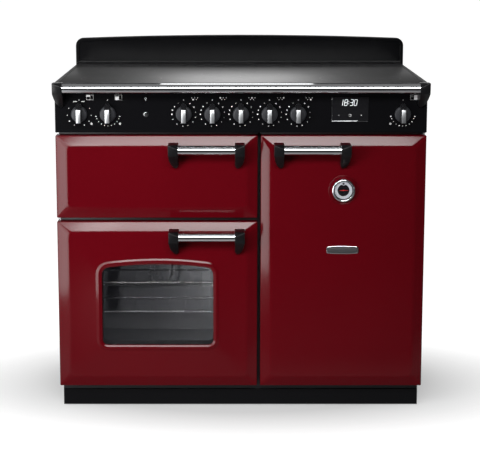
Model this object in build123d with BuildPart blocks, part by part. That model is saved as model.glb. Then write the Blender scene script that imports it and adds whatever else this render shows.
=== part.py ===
from build123d import *
import math
import os

os.makedirs("parts", exist_ok=True)

# Induction range cooker, in millimetres. +Z is up, the doors face -Y, +X is to the right seen from the
# front. The origin is on the floor, under the middle of the overall box.

# Overall size
width = 992.0  # across the hob and the doors
hob_height = 905.0  # floor to the top of the hob
overall_depth = 648.0  # front of the handle brackets to the back of the splashback
side_inset = 5.0  # how far the doors and the hob overhang each side panel

# Sheet metal and clearances
sheet = 1.5
seat_gap = 0.2  # a loose piece over what carries it
running_gap = 0.05  # round a pin or shaft that turns, on the radius
hole_gap = 0.5  # round a shaft that only passes through, on the radius

# Doors
door_crown = 10.0  # flat field in front of the door's outer edge
door_bevel = 29.0  # width of the sloping border
door_edge = 38.0  # depth of the door's sides
door_to_frame = 5.5
door_corner_radius = 3.0
door_field_radius = 14.0
door_wall = 1.5
door_bottom = 69.0
door_panel_gap = 8.0  # between the tall doors and the control panel
grill_door_height = 224.0
door_split_x = 49.0  # middle of the gap between the left doors and the right door
door_gap_x = 8.0
door_gap_z = 10.0  # between the grill door and the left oven door

# Door handles and handrail
bar_diameter = 25.0
handle_length = 203.0  # across both brackets
handle_reach = 42.0  # bar axis in front of the door's field
handle_drop = 33.0  # bar axis below the top edge of the door
handle_offset = 35.0  # handle's end from the free edge of the door
bracket_width = 26.0
bracket_head = 15.0  # radius of the bracket round the bar
bracket_foot = 54.0  # lower end of the bracket below the bar axis
bracket_toe = 8.0  # thickness of the lower end
bracket_rounding = 4.0
socket_depth = 10.0
socket_gap = 0.1
rail_diameter = 26.0
rail_reach = 45.0  # rail axis in front of the control panel

# Window of the left oven door
window_width = 302.0
window_bottom = 187.5  # above the floor
window_from_top = 128.5  # ends of the arch below the top of the door
window_rise = 13.0  # crest of the arch above its ends
window_radius = 14.0
bead_width = 17.0
bead_height = 5.0
bead_rounding = 4.5
pane = 4.0
pane_lap = 12.0  # pane past the edge of the opening

# Dial thermometer of the right door
dial_from_top = 146.0  # centre below the top of the door
dial_diameter = 62.0
dial_depth = 14.0
dial_bore = 52.0
dial_recess = 9.0
dial_rounding = 2.5
dial_ring_radius = 38.5
dial_ring_bead = 2.0
needle_length = 15.0  # from the centre to the tip
needle_tail = 10.0
needle_width = 1.8
needle_thickness = 0.8
needle_hub = 6.0
needle_pin = 3.0
needle_pin_length = 3.5
needle_lift = 1.2  # needle over the dial face

# Door hinges
hinge_inset = 8.0  # pin axis from the outer side of the door
hinge_from_back = 6.5  # pin axis in front of the door's back
hinge_pin = 8.0
hinge_pin_reach = 15.0  # pin inside the door
hinge_plate = 4.0
hinge_plate_width = 15.0
hinge_block = 14.0
hinge_block_height = 20.0
hinge_nose = 9.0  # hinge plate in front of the pin axis

# Control panel
panel_height = 113.0
knob_rise = 49.0  # knob axes above the lower edge of the panel
knob_from_side = 65.0  # outermost knob axes inside the ends of the panel
knob_pitch = 76.2
knob_gap = 0.6  # knob skirt in front of the panel
skirt_diameter = 44.0
skirt_height = 7.0
skirt_taper = 8.0  # degrees
grip_width = 15.6
grip_height = 27.0
grip_tail = 22.5  # lower end of the grip below the axis
grip_nose = 29.5  # pointed end of the grip above the axis
grip_flat = 14.5  # flat front of the grip above the axis
nose_height = 10.0  # height of the grip at its pointed end
grip_rounding = 2.0
strip_width = 11.5
strip_inset = 0.6
shaft_diameter = 6.0
switch_size = 36.0
switch_depth = 30.0
switch_bore_depth = 24.0
button_diameter = 11.0
button_stand = 4.5  # front of the button before the panel
button_flange = 2.4  # least room behind the button's cap
button_stem = 6.0
button_switch = 18.0
clock_from_knob = 140.5  # middle of the clock before the right oven's knob
clock_width = 98.5
clock_height = 66.5
clock_drop = 18.0  # clock below the upper edge of the panel
clock_stand = 2.5
clock_radius = 3.0
clock_body_inset = 4.5
clock_body_depth = 34.0

# Hob and splashback
hob_overhang = 28.0  # hob front before the control panel
hob_frame_height = 22.0
hob_border = 13.0
hob_ledge = 8.0
hob_rounding = 3.0
hob_glass_thickness = 6.0
hob_glass_gap = 0.5
vent_deck = 92.0  # depth of the vented strip behind the glass
vent_columns = 8
vent_rows = 3
vent_land = 20.0  # metal between two slots along the row
vent_middle_land = 68.0
vent_slot_depth = 9.0
vent_slot_pitch = 20.0
vent_deck_thickness = 3.0
splash_thickness = 12.0
splash_side = 79.0  # height above the hob at the ends
splash_crest = 89.0  # height above the hob in the middle
splash_radius = 24.0
splash_rim = 11.0
splash_recess = 3.0
splash_rounding = 2.5
splash_skirt = 35.0  # how far it hangs below the top of the hob

# Induction units
coil_large_share = 0.462  # of the clear depth under the glass
coil_small_share = 0.336
coil_bore = 40.0
coil_height = 11.0
coil_side_room = 40.0  # between the outer coils and the ledge beside them
coil_front_room = 4.0
coil_rear_room = 37.0
power_unit_width = 380.0
power_unit_depth = 210.0
power_unit_height = 60.0
fin_count = 9
fin_pitch = 20.0
fin_width = 5.0
fin_height = 14.0

# Cabinet
rear_recess = 26.0  # rear panel before the back of the splashback
side_bottom = 22.0  # lower edge of the side panels above the floor
base_height = 60.0  # top of the base tray
base_wall = 18.0
frame_thickness = 4.0
frame_bottom = 40.0
plinth_top = 48.0
plinth_thickness = 4.0
plinth_clearance = 3.0
plinth_rounding = 1.5
rear_slot_rows = 4
rear_slot_columns = 6
rear_slot_width = 70.0
rear_slot_height = 6.0
rear_slot_pitch = 16.0
rear_slot_spacing = 120.0
rear_slot_drop = 63.0  # middle of the slots below the hob

# Oven and grill spaces, clear inside
left_cavity_margin = 55.5  # cavity's side walls inside the edges of its door
right_cavity_margin = 51.5
oven_floor = 110.0
left_oven_drop = 43.0  # left oven's roof below the gap between its door and the grill door
grill_rise = 33.0  # grill's floor above that gap
cavity_drop = 26.0  # roofs below the tops of the doors
rear_space = 108.0  # between the back walls and the rear panel
insulation = 30.0
seal_width = 8.0
seal_thickness = 5.0
seal_offset = 6.0

# Wire shelves and their supports
rod = 5.0
shelf_rod = 6.0
shelf_wire = 4.0
shelf_wire_pitch = 47.0
shelf_front_setback = 26.0
shelf_back_room = 60.0
support_stand = 5.0  # upright axis from the wall
support_step = 4.5  # rung axis from the upright axis
rung_first = 173.0
rung_pitch = 41.0
rung_top_room = 60.0
left_shelf_rungs = (2, 4)
right_shelf_rungs = (1, 6)
upright_front_room = 59.5  # uprights of the supports from the front frame
upright_back_room = 100.0
rung_overhang = 32.0

# Fans, elements and lamps
fan_diameter = 140.0
fan_hub = 30.0
fan_blades = 10
fan_blade_width = 16.0
fan_blade_thickness = 1.2
fan_blade_inset = 4.0  # blade ends inside the rim of the back disc
fan_back_gap = 6.0
fan_shaft_length = 26.0
fan_cover_size = 270.0
fan_cover_depth = 36.0
fan_cover_holes = 24
fan_hole = 9.0
fan_hole_ring = 46.0
fan_inner_holes = 12
fan_inner_ring = 26.0
motor_diameter = 70.0
motor_length = 48.0
motor_hole_gap = 1.0
element_tube = 7.0
element_ring = 95.0
element_leg_spacing = 40.0
grill_run_pitch = 50.0
grill_runs = 6
grill_drop = 22.0  # element below the grill's roof
grill_front_room = 60.0
grill_back_room = 70.0
lamp_diameter = 34.0
lamp_height = 14.0
lamp_rounding = 6.0
lamp_from_side = 40.0
lamp_from_top = 45.0

# Grill pan
runner_width = 18.0
runner_thickness = 4.0
runner_rise = 46.0  # top of the runners above the grill's floor
runner_room = 20.0
pan_side_gap = 3.0
pan_height = 34.0
pan_wall = 1.5
pan_rim = 12.0
pan_front_setback = 24.0
pan_back_room = 49.5
trivet_gap = 12.0
trivet_wire = 4.0
trivet_cross = 5.0
trivet_sink = 3.0  # cross wires below the lengthwise wires, axis to axis
trivet_count = 11
trivet_leg = 14.0

# Feet, rollers and mains entry
foot_from_side = 51.0  # feet and rollers inside the side panels
foot_from_frame = 12.0  # pads behind the front frame
foot_pad = 45.0
foot_pad_height = 12.0
foot_stem = 12.0
foot_chamfer = 2.0
roller_from_rear = 63.0
roller_diameter = 40.0
roller_width = 24.0
roller_pin = 8.0
roller_side_gap = 0.5
roller_cheek = 3.0
roller_cheek_width = 26.0
roller_rounding = 2.0
terminal_from_side = 139.5
terminal_width = 120.0
terminal_tall = 90.0
terminal_depth = 24.0
terminal_bottom = 165.0
terminal_wall = 2.5
gland_bore = 16.0
gland_diameter = 22.0
gland_length = 15.0

# Depths, front to back
y_front = -overall_depth / 2
y_back = overall_depth / 2
y_bar = y_front + bracket_head
y_face = y_bar + handle_reach
y_edge = y_face + door_crown
y_door_back = y_edge + door_edge
y_frame = y_door_back + door_to_frame
y_frame_back = y_frame + frame_thickness
y_rear = y_back - rear_recess
y_rail = y_edge - rail_reach
y_hob_front = y_edge - hob_overhang
y_splash = y_back - splash_thickness
y_hinge = y_door_back - hinge_from_back
cavity_back = y_rear - rear_space
foot_row = y_frame_back + foot_from_frame + foot_pad / 2
roller_row = y_rear - roller_from_rear
upright_front = y_frame_back + upright_front_room
upright_back = cavity_back - upright_back_room

# Widths and heights
half = width / 2
half_cabinet = half - side_inset
half_inside = half_cabinet - sheet
hob_underside = hob_height - hob_frame_height
panel_bottom = hob_underside - panel_height
knob_height = panel_bottom + knob_rise
clock_top = hob_underside - clock_drop
rear_slot_middle = hob_underside - rear_slot_drop
door_top = panel_bottom - door_panel_gap
door_split_z = door_top - grill_door_height - door_gap_z / 2
dial_height = door_top - dial_from_top
cavity_top = door_top - cavity_drop
left_oven_top = door_split_z - left_oven_drop
grill_floor = door_split_z + grill_rise
runner_height = grill_floor + runner_rise
left_door = (-half, door_split_x - door_gap_x / 2)
right_door = (door_split_x + door_gap_x / 2, half)
left_middle = sum(left_door) / 2
right_middle = sum(right_door) / 2
left_cavity = (left_door[0] + left_cavity_margin, left_door[1] - left_cavity_margin)
right_cavity = (right_door[0] + right_cavity_margin, right_door[1] - right_cavity_margin)
grill_door_z = (door_split_z + door_gap_z / 2, door_top)
oven_door_z = (door_bottom, door_split_z - door_gap_z / 2)
tall_door_z = (door_bottom, door_top)
grill_cavity_z = (grill_floor, cavity_top)
left_cavity_z = (oven_floor, left_oven_top)
right_cavity_z = (oven_floor, cavity_top)
shelf_deck_height = cavity_top + sheet + insulation
rail_height = hob_height - rail_diameter / 2
hinge_left = -half + hinge_inset
hinge_right = half - hinge_inset
foot_column = half_cabinet - foot_from_side
terminal_place = half_inside - terminal_from_side
knob_end = half - knob_from_side
clock_middle = knob_end - clock_from_knob


def facing(y):
    """Plane at depth y whose normal points to the front."""
    return Plane.XZ.offset(-y)


def middle(span):
    return (span[0] + span[1]) / 2


def length(span):
    return span[1] - span[0]


def grown(span, amount):
    return (span[0] - amount, span[1] + amount)


def slab(x, y, z):
    """Rectangular block between the given limits."""
    with BuildPart() as block:
        with BuildSketch(Plane.XY.offset(z[0])):
            with Locations((middle(x), middle(y))):
                Rectangle(length(x), length(y))
        extrude(amount=length(z))
    return block.part


def save(name, *pieces):
    """Write one node, a single solid or a group of separate solids."""
    solids = [solid for piece in pieces for solid in piece.solids()]
    node = pieces[0] if len(pieces) == 1 else Compound(solids)
    node.label = name
    export_step(node, f"parts/{name}.step")


# Side panels
side_y = (y_frame, y_rear)
side_z = (side_bottom, hob_underside)
save("left_side_panel", slab((-half_cabinet, -half_inside), side_y, side_z))
save("right_side_panel", slab((half_inside, half_cabinet), side_y, side_z))

# Rear panel with cooling slots for the electronics
with BuildPart() as rear_panel:
    with BuildSketch(facing(y_rear)) as rear_sheet:
        with Locations((0, middle((base_height, hob_underside)))):
            Rectangle(2 * half_inside, hob_underside - base_height)
        with Locations((0, rear_slot_middle)):
            with GridLocations(rear_slot_spacing, rear_slot_pitch, rear_slot_columns, rear_slot_rows):
                SlotOverall(rear_slot_width, rear_slot_height, mode=Mode.SUBTRACT)
    extrude(amount=sheet)
save("rear_panel", rear_panel.part)

# Base tray with a short wall at the back
with BuildPart() as base_tray:
    with BuildSketch(Plane.YZ.offset(-half_inside)):
        with BuildLine():
            Polyline(
                (y_frame_back, base_height - sheet),
                (y_rear - sheet, base_height - sheet),
                (y_rear - sheet, base_height + base_wall),
                (y_rear - 2 * sheet, base_height + base_wall),
                (y_rear - 2 * sheet, base_height),
                (y_frame_back, base_height),
                close=True,
            )
        make_face()
    extrude(amount=2 * half_inside)
save("base_tray", base_tray.part)

# Plinth board under the doors
with BuildPart() as plinth:
    with BuildSketch(facing(y_frame)):
        with Locations((0, middle((plinth_clearance, plinth_top)))):
            Rectangle(2 * half_cabinet, plinth_top - plinth_clearance)
    extrude(amount=plinth_thickness)
    front_face = plinth.faces().sort_by(Axis.Y)[0]
    fillet(front_face.edges(), plinth_rounding)
save("plinth", plinth.part)

# Front frame: stiles, rails and the bars round the three openings
frame_y = (y_frame, y_frame_back)
frame_z = (frame_bottom, panel_bottom)
stile_left = (-half_inside, left_cavity[0])
stile_middle = (left_cavity[1], right_cavity[0])
stile_right = (right_cavity[1], half_inside)
frame_bars = [slab(stile, frame_y, frame_z) for stile in (stile_left, stile_middle, stile_right)]
frame_bars += [
    slab(left_cavity, frame_y, (frame_bottom, oven_floor)),
    slab(right_cavity, frame_y, (frame_bottom, oven_floor)),
    slab(left_cavity, frame_y, (left_oven_top, grill_floor)),
    slab(left_cavity, frame_y, (cavity_top, panel_bottom)),
    slab(right_cavity, frame_y, (cavity_top, panel_bottom)),
]
save("front_frame", *frame_bars)


def liner(x, z, fan_at):
    """Oven wrapper of four walls and a back sheet, with the fan's shaft hole."""
    y = (y_frame_back, cavity_back + sheet)
    walls = [
        slab(grown(x, sheet), y, (z[0] - sheet, z[0])),
        slab(grown(x, sheet), y, (z[1], z[1] + sheet)),
        slab((x[0] - sheet, x[0]), y, z),
        slab((x[1], x[1] + sheet), y, z),
    ]
    with BuildPart() as back:
        with BuildSketch(facing(cavity_back + sheet)):
            with Locations((middle(x), middle(z))):
                Rectangle(length(x), length(z))
            if fan_at:
                with Locations(fan_at):
                    Circle(shaft_diameter / 2 + hole_gap, mode=Mode.SUBTRACT)
        extrude(amount=sheet)
    return walls + [back.part]


left_fan_at = (left_middle, middle(left_cavity_z))
right_fan_at = (right_middle, middle(right_cavity_z))
save("left_oven_liner", *liner(left_cavity, left_cavity_z, left_fan_at))
save("right_oven_liner", *liner(right_cavity, right_cavity_z, right_fan_at))
save("grill_liner", *liner(left_cavity, grill_cavity_z, None))


def wrap(x, z, fan_at):
    """Insulation slabs round one liner."""
    y = (y_frame_back, cavity_back + sheet)
    outer_x = grown(x, sheet)
    outer_z = grown(z, sheet)
    slabs = [
        slab(outer_x, y, (outer_z[0] - insulation, outer_z[0])),
        slab(outer_x, y, (outer_z[1], outer_z[1] + insulation)),
        slab((outer_x[0] - insulation, outer_x[0]), y, outer_z),
        slab((outer_x[1], outer_x[1] + insulation), y, outer_z),
    ]
    with BuildPart() as back:
        with BuildSketch(facing(y[1] + insulation)):
            with Locations((middle(x), middle(z))):
                Rectangle(length(outer_x), length(outer_z))
            if fan_at:
                with Locations(fan_at):
                    Circle(motor_diameter / 2 + motor_hole_gap, mode=Mode.SUBTRACT)
        extrude(amount=insulation)
    return slabs + [back.part]


save(
    "oven_insulation",
    *wrap(left_cavity, left_cavity_z, left_fan_at),
    *wrap(right_cavity, right_cavity_z, right_fan_at),
    *wrap(left_cavity, grill_cavity_z, None),
)


def seal(x, z):
    """Door seal round one opening, on the front of the frame."""
    inner = (length(x) + 2 * seal_offset, length(z) + 2 * seal_offset)
    with BuildPart() as ring:
        with BuildSketch(facing(y_frame)):
            with Locations((middle(x), middle(z))):
                outer = [side + 2 * seal_width for side in inner]
                RectangleRounded(*outer, seal_width + seal_offset)
                RectangleRounded(inner[0], inner[1], seal_offset, mode=Mode.SUBTRACT)
        extrude(amount=seal_thickness)
        fillet(ring.faces().sort_by(Axis.Y)[0].edges(), seal_width / 4)
    return ring.part


save(
    "door_seals",
    seal(left_cavity, left_cavity_z),
    seal(right_cavity, right_cavity_z),
    seal(left_cavity, grill_cavity_z),
)


def ladder(wall, inward, roof):
    """Wire shelf support standing off one side wall; inward is +1 or -1 along X."""
    upright_x = wall + inward * support_stand
    rung_x = upright_x + inward * support_step
    rungs = 1 + int((roof - rung_top_room - rung_first) / rung_pitch)
    last = rung_first + (rungs - 1) * rung_pitch
    with BuildPart() as wires:
        with BuildSketch(Plane.XY.offset(rung_first - rung_pitch / 2)):
            with Locations((upright_x, upright_front), (upright_x, upright_back)):
                Circle(rod / 2)
        extrude(amount=last - rung_first + rung_pitch)
        with BuildSketch(facing(upright_back + rung_overhang)):
            for rung in range(rungs):
                with Locations((rung_x, rung_first + rung * rung_pitch)):
                    Circle(rod / 2)
        extrude(amount=upright_back - upright_front + 2 * rung_overhang)
        with BuildSketch(Plane.YZ.offset(wall)):
            for y in (upright_front, upright_back):
                with Locations((y, rung_first - rung_pitch / 4), (y, last + rung_pitch / 4)):
                    Circle(rod / 2)
        extrude(amount=inward * support_stand)
    return wires.part


runner_y = (y_frame_back + runner_room, cavity_back - runner_room)
runner_z = (runner_height - runner_thickness, runner_height)
save(
    "shelf_supports",
    ladder(left_cavity[0], 1, left_oven_top),
    ladder(left_cavity[1], -1, left_oven_top),
    ladder(right_cavity[0], 1, cavity_top),
    ladder(right_cavity[1], -1, cavity_top),
    slab((left_cavity[0], left_cavity[0] + runner_width), runner_y, runner_z),
    slab((left_cavity[1] - runner_width, left_cavity[1]), runner_y, runner_z),
)

shelf_y = (y_frame + shelf_front_setback, cavity_back - shelf_back_room)


def shelf(x, rung):
    """Wire shelf: a rod frame with lengthwise wires laid over its ends."""
    height = rung_first + rung * rung_pitch + rod / 2 + seat_gap + shelf_rod / 2
    side = support_stand + support_step + shelf_rod / 2
    rails = (x[0] + side, x[1] - side)
    wires = int(length(rails) / shelf_wire_pitch)
    wire_height = height + shelf_rod / 2
    with BuildPart() as grid:
        with BuildSketch(Plane.YZ.offset(rails[0])):
            with Locations((shelf_y[0], height), (shelf_y[1], height), (middle(shelf_y), height)):
                Circle(shelf_rod / 2)
        extrude(amount=length(rails))
        with BuildSketch(facing(shelf_y[1])):
            with Locations((rails[0], height), (rails[1], height)):
                Circle(shelf_rod / 2)
        extrude(amount=length(shelf_y))
        with BuildSketch(facing(shelf_y[1] + shelf_rod / 2)):
            with Locations((middle(x), wire_height)):
                with GridLocations(shelf_wire_pitch, shelf_wire_pitch, wires, 1):
                    Circle(shelf_wire / 2)
        extrude(amount=length(shelf_y) + shelf_rod)
    return grid.part


save(
    "oven_shelves",
    *[shelf(left_cavity, rung) for rung in left_shelf_rungs],
    *[shelf(right_cavity, rung) for rung in right_shelf_rungs],
)


def fan_cover(at):
    """Shallow pan over the fan, drilled in two rings in front of it."""
    with BuildPart() as cover:
        with BuildSketch(facing(cavity_back)):
            with Locations(at):
                RectangleRounded(fan_cover_size, fan_cover_size, fan_hole)
        extrude(amount=fan_cover_depth)
        with BuildSketch(facing(cavity_back)):
            with Locations(at):
                RectangleRounded(fan_cover_size - 2 * sheet, fan_cover_size - 2 * sheet, fan_hole - sheet)
        extrude(amount=fan_cover_depth - sheet, mode=Mode.SUBTRACT)
        with BuildSketch(facing(cavity_back - fan_cover_depth)):
            with Locations(at):
                with PolarLocations(fan_hole_ring, fan_cover_holes):
                    Circle(fan_hole / 2)
                with PolarLocations(fan_inner_ring, fan_inner_holes):
                    Circle(fan_hole / 2)
        extrude(amount=-sheet, mode=Mode.SUBTRACT)
    return cover.part


save("fan_covers", fan_cover(left_fan_at), fan_cover(right_fan_at))


def fan(at):
    """Fan wheel on its shaft: back disc, hub and radial blades."""
    y_disc = cavity_back - fan_back_gap
    blade = (fan_hub / 2 - fan_blade_thickness, fan_diameter / 2 - fan_blade_inset)
    with BuildPart() as wheel:
        with BuildSketch(facing(y_disc)):
            with Locations(at):
                Circle(fan_diameter / 2)
        extrude(amount=fan_blade_thickness)
        with BuildSketch(facing(y_disc)):
            with Locations(at):
                Circle(fan_hub / 2)
                with PolarLocations(middle(blade), fan_blades):
                    Rectangle(length(blade), fan_blade_thickness)
        extrude(amount=fan_blade_width)
        with BuildSketch(facing(y_disc)):
            with Locations(at):
                Circle(shaft_diameter / 2)
        extrude(amount=-(fan_back_gap + sheet + fan_shaft_length))
    return wheel.part


save("left_oven_fan", fan(left_fan_at))
save("right_oven_fan", fan(right_fan_at))


def motor(at):
    """Fan motor on the outside of the back wall, bored for the fan's shaft."""
    y_motor = cavity_back + sheet
    with BuildPart() as drum:
        with BuildSketch(facing(y_motor)):
            with Locations(at):
                Circle(motor_diameter / 2)
        extrude(amount=-motor_length)
        with BuildSketch(facing(y_motor)):
            with Locations(at):
                Circle(shaft_diameter / 2 + running_gap)
        extrude(amount=-(fan_shaft_length + fan_back_gap), mode=Mode.SUBTRACT)
    return drum.part


save("fan_motors", motor(left_fan_at), motor(right_fan_at))


def ring_element(at):
    """Heating ring round the fan, held by two legs in the back wall."""
    y_ring = cavity_back - fan_cover_depth / 2
    with BuildPart() as tube:
        with BuildSketch(Plane.YZ.offset(at[0])):
            with Locations((y_ring, at[1] + element_ring)):
                Circle(element_tube / 2)
        revolve(axis=Axis((at[0], y_ring, at[1]), (0, 1, 0)))
        leg_drop = math.sqrt(element_ring**2 - (element_leg_spacing / 2) ** 2)
        with BuildSketch(facing(cavity_back)):
            with Locations((at[0], at[1] - leg_drop)):
                with GridLocations(element_leg_spacing, element_leg_spacing, 2, 1):
                    Circle(element_tube / 2)
        extrude(amount=fan_cover_depth / 2)
    return tube.part


# Grill element: a flat run of hairpins under the roof with both ends in the back wall
with BuildPart() as grill_element:
    first_run = left_middle - (grill_runs - 1) * grill_run_pitch / 2
    turn_front = y_frame_back + grill_front_room
    turn_back = cavity_back - grill_back_room
    route = [(first_run, cavity_back)]
    for run in range(grill_runs):
        run_x = first_run + run * grill_run_pitch
        near, far = (turn_back, turn_front) if run % 2 == 0 else (turn_front, turn_back)
        if run > 0:
            route.append((run_x, near))
        if run < grill_runs - 1:
            route.append((run_x, far))
    route.append((first_run + (grill_runs - 1) * grill_run_pitch, cavity_back))
    with BuildLine(Plane.XY.offset(cavity_top - grill_drop)) as hairpins:
        FilletPolyline(*route, radius=grill_run_pitch / 2 - seat_gap)
    with BuildSketch(Plane(origin=hairpins.line @ 0, x_dir=(1, 0, 0), z_dir=hairpins.line % 0)):
        Circle(element_tube / 2)
    sweep(path=hairpins.line)
save("heating_elements", ring_element(left_fan_at), ring_element(right_fan_at), grill_element.part)


def lamp(x, z):
    """Oven lamp lens on the back wall."""
    with BuildPart() as lens:
        with BuildSketch(facing(cavity_back)):
            with Locations((x[1] - lamp_from_side, z[1] - lamp_from_top)):
                Circle(lamp_diameter / 2)
        extrude(amount=lamp_height)
        fillet(lens.faces().sort_by(Axis.Y)[0].edges(), lamp_rounding)
    return lens.part


save("oven_lamps", lamp(left_cavity, left_cavity_z), lamp(right_cavity, right_cavity_z))

# Grill pan hanging by its rim on the runners, with a wire trivet in it
pan_x = grown(left_cavity, -(runner_width + pan_side_gap))
pan_y = (y_frame + pan_front_setback, cavity_back - pan_back_room)
pan_z = (runner_height + seat_gap - pan_height, runner_height + seat_gap)
with BuildPart() as grill_pan:
    with BuildSketch(Plane.XY.offset(pan_z[0])):
        with Locations((middle(pan_x), middle(pan_y))):
            Rectangle(length(pan_x), length(pan_y))
    extrude(amount=pan_height)
    with BuildSketch(Plane.XY.offset(pan_z[1])):
        with Locations((middle(pan_x), middle(pan_y))):
            Rectangle(length(pan_x) + 2 * (pan_rim + pan_side_gap), length(pan_y))
    extrude(amount=pan_wall)
    with BuildSketch(Plane.XY.offset(pan_z[0] + pan_wall)):
        with Locations((middle(pan_x), middle(pan_y))):
            Rectangle(length(pan_x) - 2 * pan_wall, length(pan_y) - 2 * pan_wall)
    extrude(amount=pan_height, mode=Mode.SUBTRACT)

trivet_x = grown(pan_x, -trivet_gap)
trivet_y = grown(pan_y, -trivet_gap)
trivet_base = pan_z[0] + pan_wall
trivet_top = trivet_base + trivet_leg
trivet_pitch = length(trivet_x) / (trivet_count - 1)
cross_rows = (trivet_y[0] + trivet_gap, trivet_y[1] - trivet_gap)
with BuildPart() as grill_trivet:
    with BuildSketch(facing(trivet_y[1])):
        with Locations((middle(trivet_x), trivet_top)):
            with GridLocations(trivet_pitch, 1, trivet_count, 1):
                Circle(trivet_wire / 2)
    extrude(amount=length(trivet_y))
    with BuildSketch(Plane.YZ.offset(trivet_x[0] - trivet_wire)):
        with Locations(*[(row, trivet_top - trivet_sink) for row in cross_rows]):
            Circle(trivet_cross / 2)
    extrude(amount=length(trivet_x) + 2 * trivet_wire)
    with BuildSketch(Plane.XY.offset(trivet_base)):
        with Locations((middle(trivet_x), middle(cross_rows))):
            with GridLocations(length(trivet_x) - trivet_pitch, length(cross_rows), 2, 2):
                Circle(trivet_wire / 2)
    extrude(amount=trivet_leg - trivet_sink)
save("grill_pan", grill_pan.part, grill_trivet.part)

# Electronics shelf over the ovens, and the two induction power units on it
deck_span = (y_frame_back, y_rear - sheet)
shelf_deck = slab(
    (-half_inside, half_inside),
    deck_span,
    (shelf_deck_height, shelf_deck_height + sheet),
)
save("electronics_shelf", shelf_deck)


def power_unit(x):
    """Power unit box with cooling fins on its roof."""
    with BuildPart() as unit:
        with BuildSketch(Plane.XY.offset(shelf_deck_height + sheet)):
            with Locations((x, middle(deck_span))):
                Rectangle(power_unit_width, power_unit_depth)
        extrude(amount=power_unit_height - fin_height)
        with BuildSketch(Plane.XY.offset(shelf_deck_height + sheet + power_unit_height - fin_height)):
            with Locations((x, middle(deck_span))):
                with GridLocations(1, fin_pitch, 1, fin_count):
                    Rectangle(power_unit_width, fin_width)
        extrude(amount=fin_height)
    return unit.part


save("induction_power_units", power_unit(-half_inside / 2), power_unit(half_inside / 2))

# Hob glass and the clear space under it, inside the ledge that carries it
glass_x = (-half + hob_border, half - hob_border)
glass_y = (y_hob_front + hob_border, y_splash - vent_deck)
glass_z = (hob_height - hob_glass_thickness, hob_height)
clear_x = grown(glass_x, -hob_ledge)
clear_y = grown(glass_y, -hob_ledge)
save("hob_glass", slab(glass_x, glass_y, glass_z))


def coil(x, y, diameter):
    """Induction coil bonded under the hob glass."""
    with BuildPart() as winding:
        with BuildSketch(Plane.XY.offset(hob_height - hob_glass_thickness - coil_height)):
            with Locations((x, y)):
                Circle(diameter / 2)
                Circle(coil_bore / 2, mode=Mode.SUBTRACT)
        extrude(amount=coil_height)
    return winding.part


coil_large = coil_large_share * length(clear_y)
coil_small = coil_small_share * length(clear_y)
coil_column = clear_x[1] - coil_side_room - coil_large / 2
coil_front = clear_y[0] + coil_front_room + coil_large / 2
coil_rear = clear_y[1] - coil_rear_room - coil_small / 2
save(
    "induction_coils",
    coil(-coil_column, coil_front, coil_large),
    coil(-coil_column, coil_rear, coil_small),
    coil(0, middle((coil_front, coil_rear)), coil_large),
    coil(coil_column, coil_rear, coil_small),
    coil(coil_column, coil_front, coil_large),
)

# Hob frame: border, ledge for the glass and the slotted deck behind it
slot_span = (length(glass_x) - vent_middle_land) / 2
slot_pitch = slot_span / (vent_columns / 2)
with BuildPart() as hob_frame:
    with BuildSketch(Plane.XY.offset(hob_underside)):
        with Locations((0, middle((y_hob_front, y_splash)))):
            Rectangle(width, y_splash - y_hob_front)
    extrude(amount=hob_frame_height)
    top_front = hob_frame.edges().filter_by(Axis.X).group_by(Axis.Y)[0].sort_by(Axis.Z)[-1:]
    top_sides = hob_frame.edges().filter_by(Axis.Y).group_by(Axis.Z)[-1]
    fillet(top_front + top_sides, hob_rounding)
    with BuildSketch(Plane.XY.offset(hob_height)):
        with Locations((0, middle(glass_y))):
            Rectangle(length(glass_x) + 2 * hob_glass_gap, length(glass_y) + 2 * hob_glass_gap)
    extrude(amount=-hob_glass_thickness, mode=Mode.SUBTRACT)
    with BuildSketch(Plane.XY.offset(hob_height)):
        with Locations((0, middle(glass_y))):
            Rectangle(length(clear_x), length(clear_y))
    extrude(amount=-hob_frame_height, mode=Mode.SUBTRACT)
    deck_y = (glass_y[1] + hob_border, y_splash - hob_border)
    with BuildSketch(Plane.XY.offset(hob_underside)):
        with Locations((0, middle(deck_y))):
            Rectangle(length(glass_x), length(deck_y))
    extrude(amount=hob_frame_height - vent_deck_thickness, mode=Mode.SUBTRACT)
    with BuildSketch(Plane.XY.offset(hob_height)):
        for side in (-1, 1):
            with Locations((side * (vent_middle_land + slot_span) / 2, middle(deck_y))):
                with GridLocations(slot_pitch, vent_slot_pitch, vent_columns // 2, vent_rows):
                    SlotOverall(slot_pitch - vent_land, vent_slot_depth)
    extrude(amount=-hob_frame_height, mode=Mode.SUBTRACT)
save("hob_frame", hob_frame.part)


def splash_outline(y, inset, low):
    """Splashback outline with a crowned top, at depth y, drawn at the given distance inside its edge."""
    side_top = hob_height + splash_side - inset
    crest = hob_height + splash_crest - inset
    side = half - inset
    with BuildSketch(facing(y)) as outline:
        with BuildLine():
            Polyline((-side, side_top), (-side, low), (side, low), (side, side_top))
            ThreePointArc((side, side_top), (0, crest), (-side, side_top))
        make_face()
        fillet(outline.vertices().group_by(Axis.Y)[-1], splash_radius - inset)
    return outline.sketch


# Splashback: plate with a rolled rim round a recessed field
splash_plate = splash_outline(y_back, 0, hob_height - splash_skirt)
splash_field = splash_outline(y_splash, splash_rim, hob_height + splash_rim)
with BuildPart() as splashback:
    extrude(splash_plate, amount=splash_thickness)
    extrude(splash_field, amount=-splash_recess, mode=Mode.SUBTRACT)
    rim_face = splashback.faces().sort_by(Axis.Y)[0]
    rim_z = (hob_height + splash_rim / 2, hob_height + splash_crest)
    fillet(rim_face.edges().filter_by_position(Axis.Z, *rim_z), splash_rounding)
save("splashback", splashback.part)

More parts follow.
